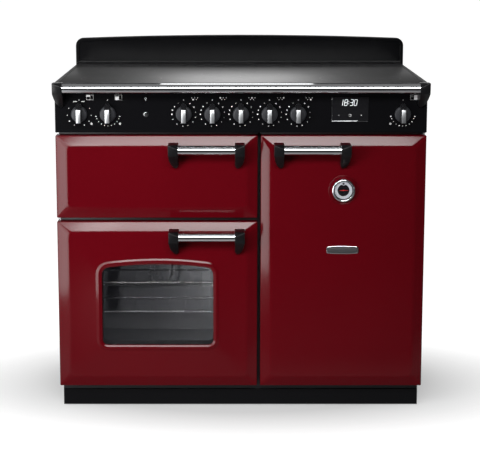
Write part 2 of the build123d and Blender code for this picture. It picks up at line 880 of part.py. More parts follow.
# Control panel: pressed front with returns, pierced for the shafts, the button and the clock
knob_places = {"grill_knob": -knob_end, "left_oven_knob": -knob_end + knob_pitch}
for number in range(1, 6):
    knob_places[f"zone_knob_{number}"] = (number - 3) * knob_pitch
knob_places["right_oven_knob"] = knob_end
button_place = middle((knob_places["left_oven_knob"], knob_places["zone_knob_1"]))
clock_z = (clock_top - clock_height, clock_top)
with BuildPart() as control_panel:
    with BuildSketch(facing(y_frame)):
        with Locations((0, middle((panel_bottom, hob_underside)))):
            Rectangle(width, hob_underside - panel_bottom)
    extrude(amount=y_frame - y_edge)
    fillet(control_panel.faces().sort_by(Axis.Y)[0].edges(), door_corner_radius / 2)
    with BuildSketch(facing(y_frame)):
        with Locations((0, middle((panel_bottom + sheet, hob_underside)))):
            Rectangle(width - 2 * sheet, hob_underside - panel_bottom - sheet)
    extrude(amount=y_frame - y_edge - sheet, mode=Mode.SUBTRACT)
    with BuildSketch(Plane.XY.offset(panel_bottom)):
        with Locations((0, middle((y_frame, y_frame_back)))):
            Rectangle(2 * half_inside, frame_thickness)
    extrude(amount=sheet)
    with BuildSketch(facing(y_edge)):
        for place in knob_places.values():
            with Locations((place, knob_height)):
                Circle(shaft_diameter / 2 + hole_gap)
        with Locations((button_place, knob_height)):
            Circle(button_stem / 2 + hole_gap)
        with Locations((clock_middle, middle(clock_z))):
            Rectangle(clock_width - 2 * clock_body_inset, clock_height - 2 * clock_body_inset)
    extrude(amount=-sheet, mode=Mode.SUBTRACT)
save("control_panel", control_panel.part)


def switch(x, size, bore):
    """Rotary or push switch fixed behind the panel, bored for its shaft."""
    y_switch = y_edge + sheet
    with BuildPart() as body:
        with BuildSketch(facing(y_switch)):
            with Locations((x, knob_height)):
                Rectangle(size, size)
                Circle(bore / 2 + running_gap, mode=Mode.SUBTRACT)
        extrude(amount=-switch_bore_depth)
        with BuildSketch(facing(y_switch + switch_bore_depth)):
            with Locations((x, knob_height)):
                Rectangle(size, size)
        extrude(amount=-(switch_depth - switch_bore_depth))
    return body.part


switches = [switch(place, switch_size, shaft_diameter) for place in knob_places.values()]
save("control_switches", *switches, switch(button_place, button_switch, button_stem))

shaft_length = knob_gap + sheet + switch_bore_depth / 2


def knob(x):
    """Pointer knob: tapered skirt, tall grip with a sloping nose, recess for a bright strip, and shaft."""
    y_knob = y_edge - knob_gap
    y_grip = y_knob - grip_height
    nose_middle = knob_height + grip_nose - grip_width / 2
    with BuildPart() as turned:
        with BuildSketch(facing(y_knob)):
            with Locations((x, middle((knob_height - grip_tail, nose_middle)))):
                Rectangle(grip_width, nose_middle - knob_height + grip_tail)
            with Locations((x, nose_middle)):
                Circle(grip_width / 2)
        extrude(amount=grip_height)
        with BuildSketch(Plane.YZ.offset(x - grip_width)):
            with BuildLine():
                Polyline(
                    (y_grip, knob_height + grip_flat),
                    (y_grip - grip_height, knob_height + grip_flat),
                    (y_grip - grip_height, knob_height + grip_nose),
                    (y_knob - nose_height, knob_height + grip_nose),
                    close=True,
                )
            make_face()
        extrude(amount=2 * grip_width, mode=Mode.SUBTRACT)
        front = turned.faces().sort_by(Axis.Y)[0]
        fillet(front.edges(), grip_rounding)
        with BuildSketch(facing(y_knob)):
            with Locations((x, knob_height)):
                Circle(skirt_diameter / 2)
        extrude(amount=skirt_height, taper=skirt_taper)
        with BuildSketch(facing(y_grip)):
            strip_z = (knob_height - grip_tail + grip_rounding, knob_height + grip_flat)
            with Locations((x, middle(strip_z))):
                Rectangle(strip_width, length(strip_z))
        extrude(amount=-strip_inset, mode=Mode.SUBTRACT)
        with BuildSketch(facing(y_knob)):
            with Locations((x, knob_height)):
                Circle(shaft_diameter / 2)
        extrude(amount=-shaft_length)
    return turned.part


for name, place in knob_places.items():
    save(name, knob(place))

# Light button: domed cap on a stem that slides in its switch
with BuildPart() as light_button:
    with BuildSketch(facing(y_edge - button_flange)):
        with Locations((button_place, knob_height)):
            Circle(button_diameter / 2)
    extrude(amount=button_stand - button_flange)
    fillet(light_button.faces().sort_by(Axis.Y)[0].edges(), (button_stand - button_flange) / 2)
    with BuildSketch(facing(y_edge - button_flange)):
        with Locations((button_place, knob_height)):
            Circle(button_stem / 2)
    extrude(amount=-(button_flange + sheet + switch_bore_depth / 2))
save("light_button", light_button.part)

# Clock module: rounded front plate and its box behind the panel
with BuildPart() as clock_module:
    with BuildSketch(facing(y_edge)):
        with Locations((clock_middle, middle(clock_z))):
            RectangleRounded(clock_width, clock_height, clock_radius)
    extrude(amount=clock_stand)
    fillet(clock_module.faces().sort_by(Axis.Y)[0].edges(), clock_stand / 2)
    with BuildSketch(facing(y_edge)):
        with Locations((clock_middle, middle(clock_z))):
            body_inset = clock_body_inset + seat_gap
            Rectangle(clock_width - 2 * body_inset, clock_height - 2 * body_inset)
    extrude(amount=-clock_body_depth)
save("clock_module", clock_module.part)


def bracket(x_outer, inward, y_mount, reach, axis_height, bar, lip):
    """Bracket for one end of a bar: a head round the bar's end and a curved arm back to its mounting face.

    inward is +1 or -1 along X towards the bar; lip is (depth, top) of a step cut out over the arm, or
    None."""
    y_axis = y_mount - reach
    chin = math.radians(60)
    with BuildPart() as arm:
        with BuildSketch(Plane.YZ.offset(x_outer)):
            with BuildLine():
                if lip:
                    heel = Polyline(
                        (y_mount, axis_height - bracket_foot),
                        (y_mount, axis_height + lip[1]),
                        (y_mount - lip[0], axis_height + lip[1]),
                        (y_mount - lip[0], axis_height + bracket_head),
                        (y_axis, axis_height + bracket_head),
                    )
                else:
                    heel = Polyline(
                        (y_mount, axis_height - bracket_foot),
                        (y_mount, axis_height + bracket_head),
                        (y_axis, axis_height + bracket_head),
                    )
                chin_point = (
                    y_axis - bracket_head * math.cos(chin),
                    axis_height - bracket_head * math.sin(chin),
                )
                ThreePointArc(heel @ 1, (y_axis - bracket_head, axis_height), chin_point)
                Polyline(
                    chin_point,
                    (y_mount - bracket_toe, axis_height - bracket_foot),
                    (y_mount, axis_height - bracket_foot),
                )
            make_face()
        extrude(amount=inward * bracket_width)
        outer = arm.faces().filter_by(Plane.YZ).sort_by(Axis.X)[0 if inward > 0 else -1]
        shaped = [edge for edge in outer.edges() if edge.center().Y < y_mount - bracket_toe]
        fillet(shaped, bracket_rounding)
        with BuildSketch(Plane.YZ.offset(x_outer + inward * bracket_width)):
            with Locations((y_axis, axis_height)):
                Circle(bar / 2 + socket_gap)
        extrude(amount=-inward * socket_depth, mode=Mode.SUBTRACT)
    return arm.part


def bar_between(x, y, z, diameter):
    """Round bar between two brackets, let into their sockets."""
    ends = grown(x, -(bracket_width - socket_depth + socket_gap))
    with BuildPart() as bar:
        with BuildSketch(Plane.YZ.offset(ends[0])):
            with Locations((y, z)):
                Circle(diameter / 2)
        extrude(amount=length(ends))
    return bar.part


# Handrail along the front of the hob
rail_x = (-half, half)
rail_lip = (hob_overhang + hole_gap, hob_underside - rail_height - hole_gap)
save("handrail", bar_between(rail_x, y_rail, rail_height, rail_diameter))
save(
    "handrail_brackets",
    bracket(-half, 1, y_edge, rail_reach, rail_height, rail_diameter, rail_lip),
    bracket(half, -1, y_edge, rail_reach, rail_height, rail_diameter, rail_lip),
)


def door_block(x, z, inset):
    """Solid form of a door with its bevelled border; inset draws it inside the skin's wall."""
    size = (length(x) - 2 * inset, length(z) - 2 * inset)
    corner = door_corner_radius - inset
    with BuildPart() as block:
        with BuildSketch(facing(y_door_back)):
            with Locations((middle(x), middle(z))):
                RectangleRounded(*size, corner)
        extrude(amount=door_edge - inset)
        with BuildSketch(facing(y_edge + inset)):
            with Locations((middle(x), middle(z))):
                RectangleRounded(*size, corner)
        with BuildSketch(facing(y_face + inset)):
            with Locations((middle(x), middle(z))):
                RectangleRounded(size[0] - 2 * door_bevel, size[1] - 2 * door_bevel, door_field_radius)
        loft(ruled=True)
    return block.part


def door_skin(x, z, x_hinge):
    """Pressed door skin, open at the back, with clearance holes for the hinge pins."""
    outside = door_block(x, z, 0)
    inside = door_block(x, z, door_wall)
    with BuildPart() as skin:
        add(outside)
        add(inside, mode=Mode.SUBTRACT)
        for edge, direction in ((z[0], 1), (z[1], -1)):
            with BuildSketch(Plane.XY.offset(edge)):
                with Locations((x_hinge, y_hinge)):
                    Circle(hinge_pin / 2 + hole_gap)
            extrude(amount=direction * door_wall, mode=Mode.SUBTRACT)
    return skin.part


def window_opening(y, grow):
    """Arched window outline at depth y, grown outwards by the given amount."""
    sides = (left_middle - window_width / 2, left_middle + window_width / 2)
    spring = oven_door_z[1] - window_from_top
    with BuildSketch(facing(y)) as opening:
        with BuildLine():
            foot = [(side, window_bottom) for side in sides]
            Polyline((sides[0], spring), *foot, (sides[1], spring))
            ThreePointArc((sides[1], spring), (left_middle, spring + window_rise), (sides[0], spring))
        make_face()
        fillet(opening.vertices(), window_radius)
        if grow:
            offset(amount=grow)
    return opening.sketch


# Grill door skin
save("grill_door_panel", door_skin(left_door, grill_door_z, hinge_left))

# Left oven door skin with a rounded bead round its window
plain_skin = door_skin(left_door, oven_door_z, hinge_left)
bead_outline = window_opening(y_face, bead_width)
window_cut = window_opening(y_face - bead_height, 0)
with BuildPart() as left_oven_door_panel:
    add(plain_skin)
    extrude(bead_outline, amount=bead_height)
    extrude(window_cut, amount=-(bead_height + door_wall), mode=Mode.SUBTRACT)
    fillet(left_oven_door_panel.faces().sort_by(Axis.Y)[0].edges(), bead_rounding)
save("left_oven_door_panel", left_oven_door_panel.part)

# Right oven door skin with a raised ring round the thermometer
tall_skin = door_skin(right_door, tall_door_z, hinge_right)
with BuildPart() as right_oven_door_panel:
    add(tall_skin)
    with BuildSketch(Plane.YZ.offset(right_middle)):
        with Locations((y_face, dial_height + dial_ring_radius)):
            Circle(dial_ring_bead)
        with Locations((y_face + door_wall / 2 + dial_ring_bead, dial_height + dial_ring_radius)):
            Rectangle(2 * dial_ring_bead, 4 * dial_ring_bead, mode=Mode.SUBTRACT)
    revolve(axis=Axis((right_middle, y_face, dial_height), (0, 1, 0)))
save("right_oven_door_panel", right_oven_door_panel.part)


def door_liner(x, z, x_hinge, inward):
    """Back sheet of a door with a bored hinge block in two corners; inward is +1 or -1 along X."""
    inside_x = grown(x, -door_wall)
    inside_z = grown(z, -door_wall)
    outer_side = inside_x[0] if inward > 0 else inside_x[1]
    block_x = outer_side + inward * hinge_block / 2
    block_y = (y_hinge - hinge_block / 2, y_door_back)
    with BuildPart() as back:
        with BuildSketch(facing(y_door_back)):
            with Locations((middle(x), middle(z))):
                RectangleRounded(length(inside_x), length(inside_z), door_corner_radius - door_wall)
        extrude(amount=sheet)
        corner = door_corner_radius - door_wall
        for low in (inside_z[0] + corner, inside_z[1] - corner - hinge_block_height):
            with BuildSketch(Plane.XY.offset(low)):
                with Locations((block_x, middle(block_y))):
                    Rectangle(hinge_block, length(block_y))
            extrude(amount=hinge_block_height)
            with BuildSketch(Plane.XY.offset(low)):
                with Locations((x_hinge, y_hinge)):
                    Circle(hinge_pin / 2 + running_gap)
            extrude(amount=hinge_block_height, mode=Mode.SUBTRACT)
    return back.part


save("grill_door_liner", door_liner(left_door, grill_door_z, hinge_left, 1))
save("right_oven_door_liner", door_liner(right_door, tall_door_z, hinge_right, -1))

# Left oven door liner and the two panes, one behind the skin and one before the liner
plain_liner = door_liner(left_door, oven_door_z, hinge_left, 1)
inner_window = window_opening(y_door_back, 0)
with BuildPart() as left_oven_door_liner:
    add(plain_liner)
    extrude(inner_window, amount=sheet, mode=Mode.SUBTRACT)
save("left_oven_door_liner", left_oven_door_liner.part)

outer_outline = window_opening(y_face + door_wall, pane_lap)
inner_outline = window_opening(y_door_back - sheet, pane_lap)
with BuildPart() as outer_pane:
    extrude(outer_outline, amount=-pane)
with BuildPart() as inner_pane:
    extrude(inner_outline, amount=pane)
save("left_oven_door_glass", outer_pane.part, inner_pane.part)

# Door handles
left_handle_x = (left_door[1] - handle_offset - handle_length, left_door[1] - handle_offset)
right_handle_x = (right_door[0] + handle_offset, right_door[0] + handle_offset + handle_length)
handles = {
    "grill_door": (left_handle_x, grill_door_z[1]),
    "left_oven_door": (left_handle_x, oven_door_z[1]),
    "right_oven_door": (right_handle_x, tall_door_z[1]),
}
for door, (handle_x, top) in handles.items():
    axis_height = top - handle_drop
    save(f"{door}_handle_bar", bar_between(handle_x, y_bar, axis_height, bar_diameter))
    save(
        f"{door}_handle_brackets",
        bracket(handle_x[0], 1, y_face, handle_reach, axis_height, bar_diameter, None),
        bracket(handle_x[1], -1, y_face, handle_reach, axis_height, bar_diameter, None),
    )

# Thermometer case with its dial face and needle pin
dial_at = (right_middle, dial_height)
y_dial_front = y_face - dial_depth
y_dial = y_dial_front + dial_recess
with BuildPart() as thermometer_case:
    with BuildSketch(facing(y_face)):
        with Locations(dial_at):
            Circle(dial_diameter / 2)
    extrude(amount=dial_depth)
    with BuildSketch(facing(y_dial_front)):
        with Locations(dial_at):
            Circle(dial_bore / 2)
    extrude(amount=-dial_recess, mode=Mode.SUBTRACT)
    fillet(thermometer_case.faces().sort_by(Axis.Y)[0].outer_wire().edges(), dial_rounding)
    with BuildSketch(facing(y_dial)):
        with Locations(dial_at):
            Circle(needle_pin / 2)
    extrude(amount=needle_pin_length)
save("thermometer_case", thermometer_case.part)

# Needle on its hub, pointing to the right
with BuildPart() as thermometer_needle:
    with BuildSketch(facing(y_dial - seat_gap)):
        with Locations(dial_at):
            Circle(needle_hub / 2)
    extrude(amount=needle_lift + needle_thickness - seat_gap)
    with BuildSketch(facing(y_dial - needle_lift)):
        with BuildLine():
            Polyline(
                (right_middle + needle_length, dial_height),
                (right_middle, dial_height + needle_width / 2),
                (right_middle - needle_tail, dial_height + needle_width / 2),
                (right_middle - needle_tail, dial_height - needle_width / 2),
                (right_middle, dial_height - needle_width / 2),
                close=True,
            )
        make_face()
    extrude(amount=needle_thickness)
    with BuildSketch(facing(y_dial)):
        with Locations(dial_at):
            Circle(needle_pin / 2 + running_gap)
    extrude(amount=needle_lift + needle_thickness, mode=Mode.SUBTRACT)
save("thermometer_needle", thermometer_needle.part)


def hinge(x_hinge, plate_low, pins):
    """Hinge plate on the front frame with pins up or down into the doors; pins are (start, end) heights."""
    plate_y = (y_hinge - hinge_nose, y_frame)
    with BuildPart() as knuckle:
        with BuildSketch(Plane.XY.offset(plate_low)):
            with Locations((x_hinge, middle(plate_y))):
                Rectangle(hinge_plate_width, length(plate_y))
        extrude(amount=hinge_plate)
        for start, end in pins:
            with BuildSketch(Plane.XY.offset(start)):
                with Locations((x_hinge, y_hinge)):
                    Circle(hinge_pin / 2)
            extrude(amount=end - start)
    return knuckle.part


hinge_space = (panel_bottom - door_top - hinge_plate) / 2
top_plate = door_top + hinge_space
middle_plate = door_split_z - hinge_plate / 2
bottom_plate = door_bottom - hinge_space - hinge_plate
top_pin = (top_plate, door_top - hinge_pin_reach)
bottom_pin = (bottom_plate + hinge_plate, door_bottom + hinge_pin_reach)
grill_lower_pin = (middle_plate + hinge_plate, grill_door_z[0] + hinge_pin_reach)
oven_upper_pin = (middle_plate, oven_door_z[1] - hinge_pin_reach)
save(
    "door_hinges",
    hinge(hinge_left, top_plate, [top_pin]),
    hinge(hinge_left, middle_plate, [grill_lower_pin, oven_upper_pin]),
    hinge(hinge_left, bottom_plate, [bottom_pin]),
    hinge(hinge_right, top_plate, [top_pin]),
    hinge(hinge_right, bottom_plate, [bottom_pin]),
)

base_underside = base_height - sheet


def foot(x):
    """Levelling foot with its threaded stem up to the base tray."""
    with BuildPart() as pad:
        with BuildSketch(Plane.XY):
            with Locations((x, foot_row)):
                Circle(foot_pad / 2)
        extrude(amount=foot_pad_height)
        chamfer(pad.faces().sort_by(Axis.Z)[-1].edges(), foot_chamfer)
        with BuildSketch(Plane.XY.offset(foot_pad_height)):
            with Locations((x, foot_row)):
                Circle(foot_stem / 2)
        extrude(amount=base_underside - foot_pad_height)
    return pad.part


save("front_feet", foot(-foot_column), foot(foot_column))

roller_axis = roller_diameter / 2
cheek_from = roller_width / 2 + roller_side_gap
cheek_to = cheek_from + roller_cheek


def roller(x):
    """Rear roller bored for its pin."""
    with BuildPart() as wheel:
        with BuildSketch(Plane.YZ.offset(x - roller_width / 2)):
            with Locations((roller_row, roller_axis)):
                Circle(roller_diameter / 2)
                Circle(roller_pin / 2 + running_gap, mode=Mode.SUBTRACT)
        extrude(amount=roller_width)
        fillet(wheel.edges().filter_by(GeomType.CIRCLE).sort_by(SortBy.RADIUS)[-2:], roller_rounding)
    return wheel.part


def roller_fork(x):
    """Fork over a rear roller with its pin, fixed under the base tray."""
    with BuildPart() as fork:
        with BuildSketch(Plane.XZ.offset(-roller_row)):
            with Locations((x, base_underside - roller_cheek / 2)):
                Rectangle(2 * cheek_to, roller_cheek)
            for side in (-1, 1):
                low = roller_axis - roller_pin
                with Locations((x + side * middle((cheek_from, cheek_to)), middle((low, base_underside)))):
                    Rectangle(roller_cheek, base_underside - low)
        extrude(amount=roller_cheek_width / 2, both=True)
        with BuildSketch(Plane.YZ.offset(x - cheek_to)):
            with Locations((roller_row, roller_axis)):
                Circle(roller_pin / 2)
        extrude(amount=2 * cheek_to)
    return fork.part


save("rear_rollers", roller(-foot_column), roller(foot_column))
save("rear_roller_brackets", roller_fork(-foot_column), roller_fork(foot_column))

# Terminal box on the rear panel, with the cable entry in its underside
terminal_z = (terminal_bottom, terminal_bottom + terminal_tall)
gland_at = (terminal_place, y_rear + terminal_depth / 2)
with BuildPart() as terminal_box:
    with BuildSketch(facing(y_rear)):
        with Locations((terminal_place, middle(terminal_z))):
            Rectangle(terminal_width, terminal_tall)
    extrude(amount=-terminal_depth)
    with BuildSketch(facing(y_rear)):
        with Locations((terminal_place, middle(terminal_z))):
            Rectangle(terminal_width - 2 * terminal_wall, terminal_tall - 2 * terminal_wall)
    extrude(amount=-(terminal_depth - terminal_wall), mode=Mode.SUBTRACT)
    with BuildSketch(Plane.XY.offset(terminal_bottom)):
        with Locations(gland_at):
            Circle(gland_diameter / 2)
    extrude(amount=-gland_length)
    with BuildSketch(Plane.XY.offset(terminal_bottom - gland_length)):
        with Locations(gland_at):
            Circle(gland_bore / 2)
    extrude(amount=gland_length + terminal_wall, mode=Mode.SUBTRACT)
save("terminal_box", terminal_box.part)
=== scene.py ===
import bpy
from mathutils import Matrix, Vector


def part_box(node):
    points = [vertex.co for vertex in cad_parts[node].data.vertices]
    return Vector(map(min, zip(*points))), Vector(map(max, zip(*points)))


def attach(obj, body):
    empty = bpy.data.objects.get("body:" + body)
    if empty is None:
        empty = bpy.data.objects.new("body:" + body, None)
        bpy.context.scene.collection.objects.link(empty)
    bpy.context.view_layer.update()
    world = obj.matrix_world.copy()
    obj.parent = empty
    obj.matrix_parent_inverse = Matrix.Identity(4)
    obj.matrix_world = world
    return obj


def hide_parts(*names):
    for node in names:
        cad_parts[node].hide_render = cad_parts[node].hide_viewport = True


bl_info = {
    "name": "Induction Range Cooker",
    "version": (1, 0, 0),
    "blender": (4, 5, 0),
    "location": "View3D > Sidebar > Cooker",
    "description": "Dresses the packed range cooker with enamelled doors, chrome, controls and a studio",
    "category": "Object",
}

import math

import bmesh
import bpy
from bpy.props import FloatProperty, FloatVectorProperty, PointerProperty
from mathutils import Matrix, Vector

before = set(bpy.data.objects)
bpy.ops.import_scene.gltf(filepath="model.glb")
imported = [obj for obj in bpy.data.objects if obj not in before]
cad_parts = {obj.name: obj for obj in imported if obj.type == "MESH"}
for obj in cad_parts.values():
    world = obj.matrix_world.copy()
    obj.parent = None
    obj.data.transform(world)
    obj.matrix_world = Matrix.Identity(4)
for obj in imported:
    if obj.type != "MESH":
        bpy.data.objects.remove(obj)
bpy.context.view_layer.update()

BOX = {name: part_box(name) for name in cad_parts}
DOORS = ("grill_door", "left_oven_door", "right_oven_door")
ZONE_KNOBS = ["zone_knob_1", "zone_knob_2", "zone_knob_3", "zone_knob_4", "zone_knob_5"]
KNOBS = ["grill_knob", "left_oven_knob", *ZONE_KNOBS, "right_oven_knob"]

TOUCH = 1e-6  # points nearer than this count as one
PANE_LAP = 0.012  # how far the pane reaches behind the edge of the window
ARCH_RISE = 0.0135  # rise of the window's arched top
BRACKET_WIDTH = 0.026


def spans(node):
    """Limits of a node's box along x, y and z."""
    return list(zip(*BOX[node]))


def middle(node):
    """Centre of a node's box."""
    return [(low + high) / 2 for low, high in spans(node)]


Y_FACE, Y_DOOR_BACK = spans("grill_door_panel")[1]
Y_PANEL = BOX["control_panel"][0].y
KNOB_Z = middle("light_button")[2]


def length_property(name, description, default):
    return FloatProperty(name=name, description=description, default=default, unit="LENGTH")


def colour_property(name, description, default):
    return FloatVectorProperty(name=name, description=description, default=default, size=3, subtype="COLOR")


class CookerSizes(bpy.types.PropertyGroup):
    """Sizes of the dressed pieces that the solids leave open."""

    door_bevel: length_property("Door bevel", "Width of the sloping border of a door", 0.029)
    door_crown: length_property("Door crown", "Field of a door before its outer edge", 0.010)
    door_corner: length_property("Door corner", "Corner radius of a door's outer edge", 0.003)
    field_corner: length_property("Field corner", "Corner radius of a door's flat field", 0.016)
    edge_rounding: length_property("Edge rounding", "Rounding of a door's outer edge", 0.0022)
    field_rounding: length_property("Field rounding", "Rounding of the fold round a door's field", 0.0045)
    skin: length_property("Skin", "Thickness of a door's skin", 0.0015)
    bead_width: length_property("Bead width", "Width of the bead round the window", 0.017)
    bead_height: length_property("Bead height", "Height of the bead round the window", 0.0027)
    window_corner: length_property("Window corner", "Corner radius of the window", 0.014)
    skirt_radius: length_property("Knob skirt", "Radius of a knob's skirt", 0.0218)
    mark_height: length_property("Mark height", "Thickness of the printed marks", 0.00012)


class CookerColours(bpy.types.PropertyGroup):
    """Colours of the finishes."""

    door_red: colour_property("Door red", "Enamel of the doors", (0.066, 0.0009, 0.0029))
    panel_black: colour_property("Panel black", "Enamel of the control panel and splashback", (0.0026, 0.0026, 0.0031))
    oven_grey: colour_property("Oven grey", "Enamel inside the ovens", (0.125, 0.128, 0.136))
    mark_white: colour_property("Mark white", "Printed marks", (0.72, 0.72, 0.72))
    needle_red: colour_property("Needle red", "Needle of the thermometer", (0.62, 0.012, 0.010))
    floor_white: colour_property("Floor", "Studio floor", (0.32, 0.32, 0.32))


class CookerStage(bpy.types.PropertyGroup):
    """The camera."""

    eye: FloatVectorProperty(
        name="Eye", description="Place of the camera", default=(-0.0317, -4.1546, 1.2756), subtype="TRANSLATION"
    )
    lens: FloatProperty(name="Lens", description="Focal length of the camera in millimetres", default=110.328)
    pitch: FloatProperty(
        name="Pitch", description="Camera tilt below level", default=math.radians(9.808), subtype="ANGLE"
    )
    shift_x: FloatProperty(name="Shift X", description="Sideways shift of the frame", default=0.02274)
    shift_y: FloatProperty(name="Shift Y", description="Upright shift of the frame", default=-0.08)


class Shade:
    """One socket of a material's nodes; sums and products of shades add Math nodes."""

    def __init__(self, tree, socket):
        self.tree = tree
        self.socket = socket

    def node(self, kind, inputs=None, out=0, **settings):
        """Add a node, set it up, feed its sockets and return one of its outputs."""
        made = self.tree.nodes.new("ShaderNode" + kind)
        for name, value in settings.items():
            setattr(made, name, value)
        for key, value in (inputs or {}).items():
            if isinstance(value, Shade):
                self.tree.links.new(value.socket, made.inputs[key])
            else:
                made.inputs[key].default_value = value
        return Shade(self.tree, made.outputs[out])

    def maths(self, operation, *values):
        return self.node("Math", dict(enumerate(values)), operation=operation)

    def __add__(self, other):
        return self.maths("ADD", self, other)

    __radd__ = __add__

    def __sub__(self, other):
        return self.maths("SUBTRACT", self, other)

    def __rsub__(self, other):
        return self.maths("SUBTRACT", other, self)

    def __mul__(self, other):
        return self.maths("MULTIPLY", self, other)

    __rmul__ = __mul__

    def __truediv__(self, other):
        return self.maths("DIVIDE", self, other)

    def clamped(self):
        return self.maths("MINIMUM", self.maths("MAXIMUM", self, 0.0), 1.0)

    def ramp(self, start, length):
        """0 up to start, 1 from a length further on; a negative length runs the other way."""
        return ((self - start) / length).clamped()

    def stretched(self, scale):
        return self.node("Mapping", {"Vector": self, "Scale": scale})

    def noise(self, scale, detail, roughness=0.5):
        return self.node("TexNoise", {"Vector": self, "Scale": scale, "Detail": detail, "Roughness": roughness})

    def cells(self, scale):
        return self.node("TexVoronoi", {"Vector": self, "Scale": scale}, out="Distance")

    def axis(self, name):
        return self.node("SeparateXYZ", {"Vector": self}, out=name)

    def mix(self, low, high):
        """Blend two colours by this value."""
        low, high = (end if isinstance(end, Shade) else (*end, 1.0) for end in (low, high))
        return self.node("Mix", {0: self, 6: low, 7: high}, out=2, data_type="RGBA")

    def bump(self, strength, distance):
        return self.node("Bump", {"Height": self, "Strength": strength, "Distance": distance})


def finish(name, build, **plain):
    """Material called name: build(place) gives the sockets that vary, plain the ones that are the same all over."""
    made = bpy.data.materials.get("finish_" + name)
    if made:
        return made
    made = bpy.data.materials.new("finish_" + name)
    made.use_nodes = True
    tree = made.node_tree
    shader = tree.nodes["Principled BSDF"]
    place = Shade(tree, tree.nodes.new("ShaderNodeTexCoord").outputs["Object"])
    for socket, value in plain.items():
        shader.inputs[socket.replace("_", " ")].default_value = value
    for socket, shade in build(place).items():
        tree.links.new(shade.socket, shader.inputs[socket])
    return made


def tints(name, *factors):
    """One of the panel's colours, made darker or lighter by each factor."""
    colour = getattr(bpy.context.scene.cooker_colours, name)
    return [tuple(c * factor for c in colour) for factor in factors]


def grained(name, dark, light, rough, grain, flow=None, relief=None, stretch=None, **plain):
    """Finish whose roughness and relief follow a fine grain, and its colour the same grain or a slower flow."""

    def build(place):
        fine = (place.stretched(stretch) if stretch else place).noise(*grain)
        slow = place.noise(*flow) if flow else fine
        varied = {"Base Color": slow.mix(dark, light), "Roughness": rough[0] + fine * rough[1]}
        if relief:
            varied["Normal"] = fine.bump(*relief)
        return varied

    return finish(name, build, **plain)


